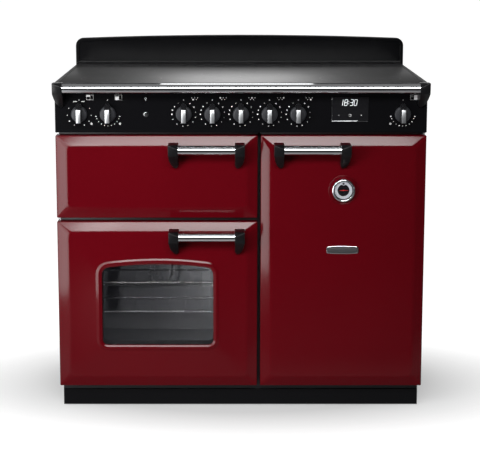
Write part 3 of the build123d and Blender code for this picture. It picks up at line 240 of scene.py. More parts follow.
# Grained finishes: rough is (least, range), grain and flow are noises, relief is a bump's (strength, depth).
METAL = dict(rough=(0.30, 0.25), relief=(0.06, 0.0004), Metallic=1.0)
PLASTIC = dict(rough=(0.5, 0.18), grain=(800.0, 2.0), flow=(20.0, 2.0), relief=(0.10, 0.0003))
COATS = {
    "cabinet_enamel": dict(
        dark=(0.008, 0.008, 0.009), light=(0.013, 0.013, 0.015), rough=(0.38, 0.12), grain=(900.0, 2.0),
        flow=(4.0, 3.0), relief=(0.12, 0.0004), Specular_IOR_Level=0.25,
    ),
    "black_cast": dict(
        dark=(0.0030, 0.0030, 0.0034), light=(0.0055, 0.0055, 0.0062), rough=(0.24, 0.10), grain=(1300.0, 2.0),
        flow=(35.0, 2.0), relief=(0.06, 0.0002), Specular_IOR_Level=0.2,
    ),
    "knob_black": dict(
        dark=(0.006, 0.006, 0.007), light=(0.011, 0.011, 0.012), rough=(0.22, 0.10), grain=(1100.0, 2.0),
        flow=(60.0, 2.0), relief=(0.04, 0.0002), Specular_IOR_Level=0.3,
    ),
    "skirt_grey": dict(
        dark=(0.013, 0.0135, 0.016), light=(0.023, 0.024, 0.028), rough=(0.34, 0.12), grain=(900.0, 2.0),
        relief=(0.05, 0.0002), Specular_IOR_Level=0.25,
    ),
    "brushed_silver": dict(
        dark=(0.34, 0.35, 0.36), light=(0.54, 0.55, 0.57), rough=(0.30, 0.14), grain=(1.0, 3.0),
        relief=(0.08, 0.0001), stretch=(1400.0, 1400.0, 30.0), Metallic=1.0,
    ),
    "dial_silver": dict(
        dark=(0.46, 0.48, 0.52), light=(0.62, 0.64, 0.68), rough=(0.34, 0.12), grain=(1.0, 2.0),
        stretch=(1500.0, 60.0, 1500.0), Metallic=0.15,
    ),
    "wire_chrome": dict(
        dark=(0.55, 0.55, 0.56), light=(0.78, 0.78, 0.79), rough=(0.14, 0.14), grain=(60.0, 3.0), Metallic=1.0
    ),
    "zone_print": dict(
        dark=(0.050, 0.050, 0.052), light=(0.085, 0.085, 0.088), rough=(0.40, 0.1), grain=(300.0, 2.0)
    ),
    "display_black": dict(
        dark=(0.004, 0.004, 0.005), light=(0.008, 0.008, 0.009), rough=(0.06, 0.06), grain=(40.0, 3.0),
        Specular_IOR_Level=0.4,
    ),
    "wool": dict(
        dark=(0.50, 0.44, 0.26), light=(0.74, 0.68, 0.46), rough=(0.85, 0.1), grain=(1.0, 4.0, 0.7),
        relief=(0.5, 0.002), stretch=(120.0, 700.0, 160.0),
    ),
    "rubber": dict(
        dark=(0.018, 0.018, 0.018), light=(0.040, 0.040, 0.040), rough=(0.62, 0.2), grain=(600.0, 3.0),
        relief=(0.15, 0.0004),
    ),
    "lamp_lens": dict(
        dark=(0.60, 0.60, 0.55), light=(0.82, 0.82, 0.76), rough=(0.12, 0.1), grain=(220.0, 2.0), relief=(0.2, 0.0006)
    ),
    "screw_steel": dict(METAL, dark=(0.34, 0.34, 0.35), light=(0.52, 0.52, 0.53), grain=(300.0, 4.0, 0.6)),
    "fan_steel": dict(METAL, dark=(0.40, 0.41, 0.42), light=(0.60, 0.60, 0.61), grain=(40.0, 4.0, 0.6)),
    "element_steel": dict(METAL, dark=(0.055, 0.050, 0.046), light=(0.13, 0.115, 0.10), grain=(70.0, 4.0, 0.6)),
    "motor_iron": dict(METAL, dark=(0.20, 0.20, 0.21), light=(0.34, 0.34, 0.35), grain=(55.0, 4.0, 0.6)),
    "coil_copper": dict(METAL, dark=(0.45, 0.19, 0.085), light=(0.70, 0.34, 0.17), grain=(160.0, 4.0, 0.6)),
    "plate_grey": dict(PLASTIC, dark=(0.013, 0.013, 0.014), light=(0.020, 0.020, 0.022)),
    "power_unit": dict(PLASTIC, dark=(0.085, 0.090, 0.10), light=(0.13, 0.14, 0.15)),
    "switch_body": dict(PLASTIC, dark=(0.12, 0.12, 0.125), light=(0.18, 0.18, 0.19)),
    "foot_plastic": dict(PLASTIC, dark=(0.014, 0.014, 0.015), light=(0.026, 0.026, 0.028)),
}


def coat(name):
    return grained(name, **COATS[name])


def printed_white():
    return grained("printed_white", *tints("mark_white", 0.82, 1.08), rough=(0.42, 0.1), grain=(700.0, 2.0))


def needle_paint():
    return grained("needle_paint", *tints("needle_red", 0.85, 1.1), rough=(0.3, 0.1), grain=(500.0, 2.0))


def red_enamel():
    def build(place):
        flow = place.noise(2.6, 3.0)
        peel = place.noise(330.0, 1.5)
        dust = place.noise(1400.0, 1.0)
        return {
            "Base Color": flow.mix(*tints("door_red", 0.88, 1.1)),
            "Roughness": 0.085 + flow * 0.02 + dust * 0.02,
            "Normal": peel.bump(0.03, 0.0006),
        }

    return finish("red_enamel", build, Specular_IOR_Level=0.14)


def black_enamel():
    def build(place):
        flow = place.noise(3.0, 3.0)
        peel = place.noise(300.0, 1.5)
        return {
            "Base Color": flow.mix(*tints("panel_black", 0.8, 1.25)),
            "Roughness": 0.12 + flow * 0.05,
            "Normal": peel.bump(0.04, 0.0005),
        }

    return finish("black_enamel", build, Specular_IOR_Level=0.14)


def oven_enamel():
    def build(place):
        dark, light, fleck = tints("oven_grey", 0.85, 1.15, 3.2)
        speck = (place.cells(420.0) * -9.0 + 1.6).clamped()
        flow = place.noise(7.0, 3.0)
        peel = place.noise(160.0, 2.0)
        return {
            "Base Color": (speck * 0.5).mix(flow.mix(dark, light), fleck),
            "Roughness": 0.26 + flow * 0.12,
            "Normal": peel.bump(0.06, 0.0006),
        }

    return finish("oven_enamel", build)


def chrome():
    def build(place):
        polish = place.stretched((6.0, 900.0, 900.0)).noise(1.0, 2.0)
        haze = place.noise(28.0, 3.0)
        return {
            "Base Color": haze.mix((0.50, 0.51, 0.53), (0.58, 0.59, 0.60)),
            "Roughness": 0.035 + polish * 0.010 + haze * 0.012,
        }

    return finish("chrome", build, Metallic=1.0)


def galvanised():
    def build(place):
        spangle = place.cells(95.0)
        fine = place.noise(240.0, 2.0)
        return {
            "Base Color": (spangle * 0.9).clamped().mix((0.42, 0.43, 0.45), (0.62, 0.63, 0.65)),
            "Roughness": 0.30 + spangle * 0.18 + fine * 0.06,
            "Normal": fine.bump(0.05, 0.0003),
        }

    return finish("galvanised", build, Metallic=1.0)


def hob_ceramic():
    def build(place):
        speck = (place.cells(700.0) * -8.0 + 1.5).clamped()
        smear = place.noise(5.0, 4.0, 0.6)
        grain = place.noise(1500.0, 2.0)
        return {
            "Base Color": (speck * 0.35).mix((0.0070, 0.0070, 0.0075), (0.030, 0.030, 0.032)),
            "Roughness": 0.43 + smear * 0.07,
            "Normal": grain.bump(0.03, 0.0002),
        }

    return finish("hob_ceramic", build)


def glass(name, colour, rough, smear, alpha, blend, **plain):
    """Clear finish that is denser where it is seen at a slant."""

    def build(place):
        rim = place.node("LayerWeight", {"Blend": blend}, out="Fresnel")
        return {"Roughness": rough + place.noise(*smear) * 0.02, "Alpha": alpha[0] + rim * alpha[1]}

    return finish(name, build, Base_Color=(*colour, 1.0), **plain)


def window_glass():
    return glass(
        "window_glass", (0.003, 0.003, 0.004), 0.015, (9.0, 3.0), (0.22, 0.5), 0.25, Specular_IOR_Level=0.12
    )


def lens_glass():
    return glass("lens_glass", (0.02, 0.02, 0.022), 0.01, (90.0, 2.0), (0.05, 0.45), 0.3)


def display_light():
    def build(place):
        glow = place.noise(900.0, 1.0)
        return {
            "Base Color": glow.mix((0.75, 0.78, 0.80), (0.85, 0.88, 0.90)),
            "Emission Color": glow.mix((0.78, 0.84, 0.88), (0.90, 0.95, 1.0)),
        }

    return finish("display_light", build, Emission_Strength=0.55)


def piece(name, bm, body, material, replaces=(), angle=38.0):
    """Make an object of the bmesh, give it its finish and let it ride on a body."""
    mesh = bpy.data.meshes.new(name)
    bm.to_mesh(mesh)
    bm.free()
    mesh.materials.append(material)
    mesh.shade_smooth()
    mesh.set_sharp_from_angle(angle=math.radians(angle))
    made = bpy.data.objects.new(name, mesh)
    bpy.context.scene.collection.objects.link(made)
    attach(made, body)
    if replaces:
        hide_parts(*replaces)


def dress(material, *nodes):
    """Give carried-over nodes a finish."""
    for node in nodes:
        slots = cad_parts[node].data.materials
        slots.clear()
        slots.append(material)


def joined(bm, part):
    """Add another bmesh to this one."""
    mesh = bpy.data.meshes.new("joining")
    part.to_mesh(mesh)
    part.free()
    bm.from_mesh(mesh)
    bpy.data.meshes.remove(mesh)


def block(bm, x, y, z):
    """Add a box between the given limits."""
    size = [high - low for low, high in (x, y, z)]
    centre = [(low + high) / 2 for low, high in (x, y, z)]
    bmesh.ops.create_cube(bm, size=1.0, matrix=Matrix.Translation(centre) @ Matrix.Diagonal((*size, 1.0)))


def rounded(bm, geom, radius, segments, affect="EDGES"):
    bmesh.ops.bevel(
        bm, geom=list(geom), offset=radius, offset_type="OFFSET", affect=affect, segments=segments, profile=0.5,
        material=-1, clamp_overlap=True,
    )


def rounded_block(bm, x, y, z, radius, segments):
    part = bmesh.new()
    block(part, x, y, z)
    rounded(part, part.edges, radius, segments)
    joined(bm, part)


UPRIGHT_TO = {
    "X": Matrix.Rotation(math.pi / 2, 4, "Y"),
    "Y": Matrix.Rotation(-math.pi / 2, 4, "X"),
    "Z": Matrix.Identity(4),
}


def turned(bm, profile, centre, axis, segments):
    """Spin a profile of (radius, along) points about an axis through centre; along runs with the axis."""
    part = bmesh.new()
    points = [part.verts.new((radius, 0.0, along)) for radius, along in profile]
    edges = [part.edges.new(pair) for pair in zip(points, points[1:])]
    bmesh.ops.spin(
        part, geom=points + edges, cent=(0, 0, 0), axis=(0, 0, 1), angle=math.tau, steps=segments, use_merge=True,
        use_duplicate=False,
    )
    bmesh.ops.remove_doubles(part, verts=part.verts, dist=TOUCH)
    loose = [edge for edge in part.edges if edge.is_boundary]
    if loose:
        bmesh.ops.holes_fill(part, edges=loose)
    bmesh.ops.transform(part, matrix=Matrix.Translation(centre) @ UPRIGHT_TO[axis], verts=part.verts)
    bmesh.ops.recalc_face_normals(part, faces=part.faces)
    joined(bm, part)


def facing(bm, profile, centre, segments):
    """Spin a profile of (radius, height) points that rises towards the front."""
    turned(bm, [(radius, -height) for radius, height in profile], centre, "Y", segments)


def drum(radius, low, high):
    """Profile of a plain disc."""
    return [(0.0, low), (radius, low), (radius, high), (0.0, high)]


def flat_ring(inner, outer, low, high):
    """Profile of a ring with square edges."""
    return [(inner, low), (outer, low), (outer, high), (inner, high), (inner, low)]


def arc(radius, height, across, up, sweep, steps):
    """Points of a profile on an arc about (radius, height), from its outermost point."""
    turns = [sweep * step / steps for step in range(steps + 1)]
    return [(radius + across * math.cos(turn), height + up * math.sin(turn)) for turn in turns]


def at_depth(verts, y):
    return all(abs(v.co.y - y) < TOUCH for v in verts)


def face_at(bm, y):
    return next(f for f in bm.faces if at_depth(f.verts, y))


def stepped(bm, face, across, along):
    """Inset a face and move it along y."""
    bmesh.ops.inset_individual(bm, faces=[face], thickness=across, depth=0.0, use_even_offset=True)
    bmesh.ops.translate(bm, verts=face.verts, vec=(0, along, 0))


def pulled(bm, outline, way):
    """Close an outline of points and pull its face into a solid."""
    face = bm.faces.new([bm.verts.new(point) for point in outline])
    grown = bmesh.ops.extrude_face_region(bm, geom=[face])["geom"]
    bmesh.ops.translate(bm, verts=[v for v in grown if isinstance(v, bmesh.types.BMVert)], vec=way)
    bmesh.ops.recalc_face_normals(bm, faces=bm.faces)


def soft_edges(bm, radius, segments, angle):
    sharp = [e for e in bm.edges if len(e.link_faces) == 2 and e.calc_face_angle(0.0) > math.radians(angle)]
    rounded(bm, sharp, radius, segments)


def rounded_loop(bm, x, z, y, radius):
    """Face of a rectangle with round corners, facing the front."""
    corners = [bm.verts.new((px, y, pz)) for px, pz in ((x[0], z[0]), (x[1], z[0]), (x[1], z[1]), (x[0], z[1]))]
    bm.faces.new(corners)
    rounded(bm, corners, radius, 6, "VERTICES")
    return face_at(bm, y)


def door_form(x, z, sizes):
    """Door skin from its rim over the sloping border to its raised field."""
    y_edge = Y_FACE + sizes.door_crown
    inner_x = (x[0] + sizes.door_bevel, x[1] - sizes.door_bevel)
    inner_z = (z[0] + sizes.door_bevel, z[1] - sizes.door_bevel)
    bm = bmesh.new()
    faces = [rounded_loop(bm, x, z, Y_DOOR_BACK, sizes.door_corner)]
    for down in (0.0, 0.10, 0.82, 1.0):
        in_x = [side + down * (inner - side) for side, inner in zip(x, inner_x)]
        in_z = [side + down * (inner - side) for side, inner in zip(z, inner_z)]
        corner = sizes.door_corner + down * (sizes.field_corner - sizes.door_corner)
        faces.append(rounded_loop(bm, in_x, in_z, y_edge + down * (Y_FACE - y_edge), corner))
    loops = [list(face.edges) for face in faces]
    bmesh.ops.delete(bm, geom=faces[:-1], context="FACES_ONLY")
    for outer, inner in zip(loops, loops[1:]):
        bmesh.ops.bridge_loops(bm, edges=outer + inner)
    room_for_fold = 0.009
    stepped(bm, face_at(bm, Y_FACE), room_for_fold, 0.0)
    return bm


def soften_door(bm, sizes):
    """Round the outer edge and the fold round the field."""
    outer = [e for e in bm.edges if at_depth(e.verts, Y_FACE + sizes.door_crown)]
    rounded(bm, outer, sizes.edge_rounding, 3)
    sloping = Y_FACE + 1e-4
    fold = [
        e for e in bm.edges
        if at_depth(e.verts, Y_FACE) and any(max(v.co.y for v in f.verts) > sloping for f in e.link_faces)
    ]
    rounded(bm, fold, sizes.field_rounding, 4)


def thick_skin(bm, thickness):
    """Turn a surface into a wall, with its outer side to the front."""
    bmesh.ops.remove_doubles(bm, verts=bm.verts, dist=TOUCH)
    bmesh.ops.recalc_face_normals(bm, faces=bm.faces)
    front = min(bm.faces, key=lambda f: f.calc_center_median().y)
    if front.normal.y > 0:
        bmesh.ops.reverse_faces(bm, faces=bm.faces)
    bmesh.ops.solidify(bm, geom=list(bm.faces), thickness=thickness)


def window_limits(border):
    """Limits of the window in x and z, with a border round it."""
    x, _, z = spans("left_oven_door_glass")
    inset = PANE_LAP - border
    return (x[0] + inset, x[1] - inset), (z[0] + inset, z[1] - inset)


def window_loop(bm, x, z, y, radius):
    """Face of the arched window outline."""
    low, crest = z
    spring = crest - ARCH_RISE
    half = (x[1] - x[0]) / 2
    arch = (half * half + ARCH_RISE * ARCH_RISE) / (2 * ARCH_RISE)
    start = bm.verts.new((x[1], y, spring))
    spun = bmesh.ops.spin(
        bm, geom=[start], cent=((x[0] + x[1]) / 2, y, crest - arch), axis=(0, -1, 0),
        angle=2 * math.asin(half / arch), steps=9, use_merge=False, use_duplicate=False,
    )
    last = next(v for v in spun["geom_last"] if isinstance(v, bmesh.types.BMVert))
    left = bm.verts.new((x[0], y, low))
    right = bm.verts.new((x[1], y, low))
    for pair in ((last, left), (left, right), (right, start)):
        bm.edges.new(pair)
    edges = [e for e in bm.edges if not e.link_faces and at_depth(e.verts, y)]
    bmesh.ops.contextual_create(bm, geom=edges)
    rounded(bm, [start, last, left, right], radius, 6, "VERTICES")
    return face_at(bm, y)


class COOKER_OT_doors(bpy.types.Operator):
    """Pressed enamelled door skins, the left oven's with its beaded window"""

    bl_idname = "cooker.doors"
    bl_label = "Door skins"

    def execute(self, context):
        sizes = context.scene.cooker_sizes
        for door in DOORS:
            x, _, z = spans(f"{door}_panel")
            bm = door_form(x, z, sizes)
            if door == "left_oven_door":
                self.add_window(bm, sizes)
            soften_door(bm, sizes)
            thick_skin(bm, sizes.skin)
            if door == "right_oven_door":
                self.add_ring(bm)
            piece(f"{door}_skin", bm, door, red_enamel(), replaces=[f"{door}_panel"])
        return {"FINISHED"}

    def add_window(self, bm, sizes):
        """Cut the window into the field, with a bead that climbs, turns over and dips to the pane."""
        slopes = (0.5, 1.0, 1.0, 1.0, 1.0, 0.8, 0.4, -0.1, -0.6, -1.0, -1.2, -1.3, -1.3, -0.7)
        climb = sum(slope for slope in slopes if slope > 0)
        apart = 1e-5  # keeps the outline off the field while it is drawn
        lip_width, lip_depth = 0.0004, 0.0012
        field = max(bm.faces, key=lambda f: f.calc_area())
        border = list(field.edges)
        bmesh.ops.delete(bm, geom=[field], context="FACES_ONLY")
        x, z = window_limits(sizes.bead_width)
        face = window_loop(bm, x, z, Y_FACE - apart, sizes.window_corner + sizes.bead_width)
        for vert in face.verts:
            vert.co.y = Y_FACE
        bmesh.ops.triangle_fill(bm, use_beauty=True, edges=border + list(face.edges), normal=(0, -1, 0))
        for slope in slopes:
            stepped(bm, face, sizes.bead_width / len(slopes), -sizes.bead_height * slope / climb)
        stepped(bm, face, lip_width, lip_depth)
        bmesh.ops.delete(bm, geom=[face], context="FACES_ONLY")

    def add_ring(self, bm):
        """Pressed ring round the thermometer."""
        x, _, z = middle("thermometer_case")
        ring = arc(0.0385, 0.0, 0.0021, 0.0016, math.pi, 8)
        sunk = -0.0004
        ring += [(ring[-1][0], sunk), (ring[0][0], sunk), ring[0]]
        facing(bm, ring, (x, Y_FACE, z), 72)


def bracket_form(x_outer, inward, y_mount, y_axis, z_axis, notch):
    """Handle bracket: a side profile pulled across its width, with a notch where another piece stands out."""
    head, foot, toe = 0.015, 0.054, 0.008
    top = z_axis + head
    profile = [(y_mount, z_axis - foot), (y_mount - toe, z_axis - foot)]
    chin = (y_axis - head * 0.80, z_axis - head * 0.92)
    profile += [chin, (y_axis - head, z_axis - head * 0.25), (y_axis - head, top)]
    if notch:
        depth, under = notch
        profile += [(y_mount - depth, top), (y_mount - depth, under), (y_mount, under)]
    else:
        profile += [(y_mount, top)]
    bm = bmesh.new()
    pulled(bm, [(x_outer, y, z) for y, z in profile], (inward * BRACKET_WIDTH, 0, 0))
    return bm


def everything(bm):
    return [*bm.verts, *bm.edges, *bm.faces]


def sliced(bm, place, normal):
    """Cut away what lies beyond a plane and close the cut."""
    cut = bmesh.ops.bisect_plane(
        bm, geom=everything(bm), plane_co=place, plane_no=normal, clear_outer=True, dist=1e-7
    )
    rim = [e for e in cut["geom_cut"] if isinstance(e, bmesh.types.BMEdge)]
    if rim:
        bmesh.ops.holes_fill(bm, edges=rim)


def shield(bm, x_outer, inward, z_low):
    """Taper the foot of a bracket to a blunt point near the bar, and cut its head to a slope towards the bar."""
    taper = (
        (0.0, 0.038), (0.0022, 0.024), (0.0065, 0.012), (0.0120, 0.0045), (0.0185, 0.0), (0.0225, 0.002),
        (BRACKET_WIDTH, 0.0085),
    )
    for (ax, az), (bx, bz) in zip(taper, taper[1:]):
        normal = Vector((inward * (bz - az), 0, ax - bx)).normalized()
        sliced(bm, Vector((x_outer + inward * ax, 0, z_low + az)), normal)
    front, top = min(v.co.y for v in bm.verts), max(v.co.z for v in bm.verts)
    brow, slope = 0.001, Vector((inward * 0.30, -0.60, 0.80))
    sliced(bm, (x_outer, front + brow, top), slope)
    bmesh.ops.remove_doubles(bm, verts=bm.verts, dist=2e-5)
    bmesh.ops.dissolve_limit(bm, angle_limit=math.radians(1.0), verts=bm.verts, edges=bm.edges)
    bmesh.ops.recalc_face_normals(bm, faces=bm.faces)


class COOKER_OT_handles(bpy.types.Operator):
    """Chrome bars with their black brackets on the doors, and the handrail"""

    bl_idname = "cooker.handles"
    bl_label = "Handles and handrail"

    def execute(self, context):
        for door in DOORS:
            self.make(door, door, f"{door}_handle_bar", f"{door}_handle_brackets", Y_FACE)
        hob_low, gap = BOX["hob_frame"][0], 0.0005
        under_hob = (Y_PANEL - hob_low.y + gap, hob_low.z - gap)
        self.make("handrail", "cabinet", "handrail", "handrail_brackets", Y_PANEL, under_hob)
        return {"FINISHED"}

    def make(self, name, body, bar_node, bracket_node, y_mount, notch=None):
        """Bar with thinner ends, and a bracket at each end."""
        x, _, z = spans(bar_node)
        _, y_axis, z_axis = centre = middle(bar_node)
        half, radius = (x[1] - x[0]) / 2, (z[1] - z[0]) / 2
        thin, neck, shoulder = radius * 0.90, BRACKET_WIDTH - 0.0162, 0.0012
        profile = [(thin, -half), (thin, -half + neck - shoulder), (radius, -half + neck)]
        profile += [(radius, half - neck), (thin, half - neck + shoulder), (thin, half)]
        bar = bmesh.new()
        turned(bar, profile, centre, "X", 72)
        piece(f"{name}_bar", bar, body, chrome(), replaces=[bar_node], angle=30.0)
        low, high = BOX[bracket_node]
        both = bmesh.new()
        for x_outer, inward in ((low.x, 1), (high.x, -1)):
            arm = bracket_form(x_outer, inward, y_mount, y_axis, z_axis, notch)
            shield(arm, x_outer, inward, low.z)
            soft_edges(arm, 0.0010, 3, 22.0)
            joined(both, arm)
        piece(f"{name}_ends", both, body, coat("black_cast"), replaces=[bracket_node])


class COOKER_OT_liners(bpy.types.Operator):
    """Pressed ribs and screws on the door backs, and the frame round the inner pane"""

    bl_idname = "cooker.liners"
    bl_label = "Door backs"

    def execute(self, context):
        for door, oven, rows in zip(DOORS, ("grill_liner", "left_oven_liner", "right_oven_liner"), (2, 3, 4)):
            self.ribs(door, oven)
            screws = bmesh.new()
            x, _, z = spans(f"{door}_liner")
            side, end = 0.016, 0.036
            for px in (x[0] + side, x[1] - side):
                for row in range(rows):
                    pz = z[0] + end + row / (rows - 1) * (z[1] - z[0] - 2 * end)
                    self.screw(screws, px, pz)
            if door == "left_oven_door":
                self.pane_frame(context.scene.cooker_sizes, screws)
            piece(f"{door}_liner_screws", screws, door, coat("screw_steel"))
        return {"FINISHED"}

    def ribs(self, door, oven):
        """Two round ribs, one inside the other, along the oven's opening."""
        x, _, z = spans(oven)
        corner, height, steps = 0.060, 0.0005, 8
        wave = [(0.0010, height * math.cos(math.pi * step / (steps - 1))) for step in range(steps)]
        ribs = bmesh.new()
        for inset in (0.024, 0.036):
            rib = bmesh.new()
            rib_x, rib_z = (x[0] + inset, x[1] - inset), (z[0] + inset, z[1] - inset)
            self.ribbed(rib, rounded_loop(rib, rib_x, rib_z, Y_DOOR_BACK, corner - inset), wave)
            joined(ribs, rib)
        piece(f"{door}_liner_ribs", ribs, door, oven_enamel())

    def ribbed(self, bm, face, steps):
        """Raise a face towards the back in steps of (across, rise), then open it and close the rib underneath."""
        outer = list(face.edges)
        for across, rise in steps:
            stepped(bm, face, across, rise)
        inner = list(face.edges)
        bmesh.ops.delete(bm, geom=[face], context="FACES_ONLY")
        bmesh.ops.bridge_loops(bm, edges=outer + inner)
        bmesh.ops.recalc_face_normals(bm, faces=bm.faces)

    def screw(self, bm, x, z):
        head = [(0.0, 0.0008), (0.0010, 0.0008), (0.0013, 0.0016), (0.0028, 0.0014), (0.0038, 0.0007)]
        turned(bm, [*head, (0.0040, 0.0), (0.0, 0.0)], (x, Y_DOOR_BACK, z), "Y", 20)

    def pane_frame(self, sizes, screws):
        """Flat frame round the inner pane, held by three screws."""
        width, edge, height, crown = 0.014, 0.0005, 0.0010, 0.0003
        x, z = window_limits(width)
        bm = bmesh.new()
        face = window_loop(bm, x, z, Y_DOOR_BACK, sizes.window_corner + width)
        flat = (width - 4 * edge, 0.0)
        self.ribbed(bm, face, [(edge, height), (edge, crown), flat, (edge, -crown), (edge, -height)])
        piece("left_oven_door_pane_frame", bm, "left_oven_door", galvanised())
        head = [(0.0, 0.0017), (0.0009, 0.0017), (0.0012, 0.0025), (0.0026, 0.0023), (0.0034, 0.0013), (0.0, 0.0013)]
        half, across, up = width / 2, sum(x) / 2, sum(z) / 2
        for px, pz in ((x[0] + half, up), (x[1] - half, up), (across, z[0] + half)):
            turned(screws, head, (px, Y_DOOR_BACK, pz), "Y", 20)


def knob_form(x):
    """Knob skirt and pointer grip; returns two bmeshes and the front of the grip."""
    y_back = Y_PANEL - 0.0006
    r = bpy.context.scene.cooker_sizes.skirt_radius
    profile = [(0.0, 0.0), (r - 0.0006, 0.0), (r, 0.0008), (r - 0.0006, 0.0050), (r - 0.0022, 0.0068)]
    skirt = bmesh.new()
    facing(skirt, [*profile, (r - 0.004, 0.0072), (0.0, 0.0074)], (x, y_back, KNOB_Z), 72)
    grip = bmesh.new()
    half, tail, nose, depth = 0.0078, 0.0222, 0.0292, 0.0270
    ends, ridge_end, nose_depth = 0.02, 0.0145, 0.0105
    block(grip, (x - half, x + half), (y_back - depth, y_back - 0.006), (KNOB_Z - tail, KNOB_Z + nose))
    bmesh.ops.bisect_plane(grip, geom=everything(grip), plane_co=(0, 0, KNOB_Z + ridge_end), plane_no=(0, 0, 1))
    for vert in grip.verts:
        if vert.co.z > KNOB_Z + ends and vert.co.y < y_back - depth / 2:
            vert.co.y = y_back - nose_depth
    for side, radius, segments in ((1, 0.0070, 5), (-1, 0.0030, 3)):
        end = [
            e for e in grip.edges
            if abs(e.verts[0].co.x - e.verts[1].co.x) < TOUCH
            and all(side * (v.co.z - KNOB_Z) > ends for v in e.verts)
        ]
        rounded(grip, end, radius, segments)
    soft_edges(grip, 0.0011, 3, 20.0)
    return skirt, grip, y_back - depth


class PrintedMarks:
    """Thin printed marks that share one mesh, on a face at depth y."""

    def __init__(self, y, height):
        self.bm = bmesh.new()
        self.y = y
        self.height = height

    def dot(self, x, z, radius):
        bmesh.ops.create_cone(
            self.bm, cap_ends=True, segments=12, radius1=radius, radius2=radius, depth=2 * self.height,
            matrix=Matrix.Translation((x, self.y, z)) @ Matrix.Rotation(math.pi / 2, 4, "X"),
        )

    def bar(self, x, z, width, tall, turn=0.0):
        """Bar centred on x, z and turned clockwise by the given degrees."""
        place = Matrix.Translation((x, self.y, z)) @ Matrix.Rotation(math.radians(turn), 4, "Y")
        bmesh.ops.create_cube(self.bm, size=1.0, matrix=place @ Matrix.Diagonal((width, 2 * self.height, tall, 1.0)))

    def ring(self, x, z, radius, width):
        profile = flat_ring(radius - width / 2, radius + width / 2, -self.height, self.height)
        turned(self.bm, profile, (x, self.y, z), "Y", 32)


def around(x, z, degrees, radius):
    """Point on a circle, clockwise from its top."""
    turn = math.radians(degrees)
    return x + radius * math.sin(turn), z + radius * math.cos(turn)


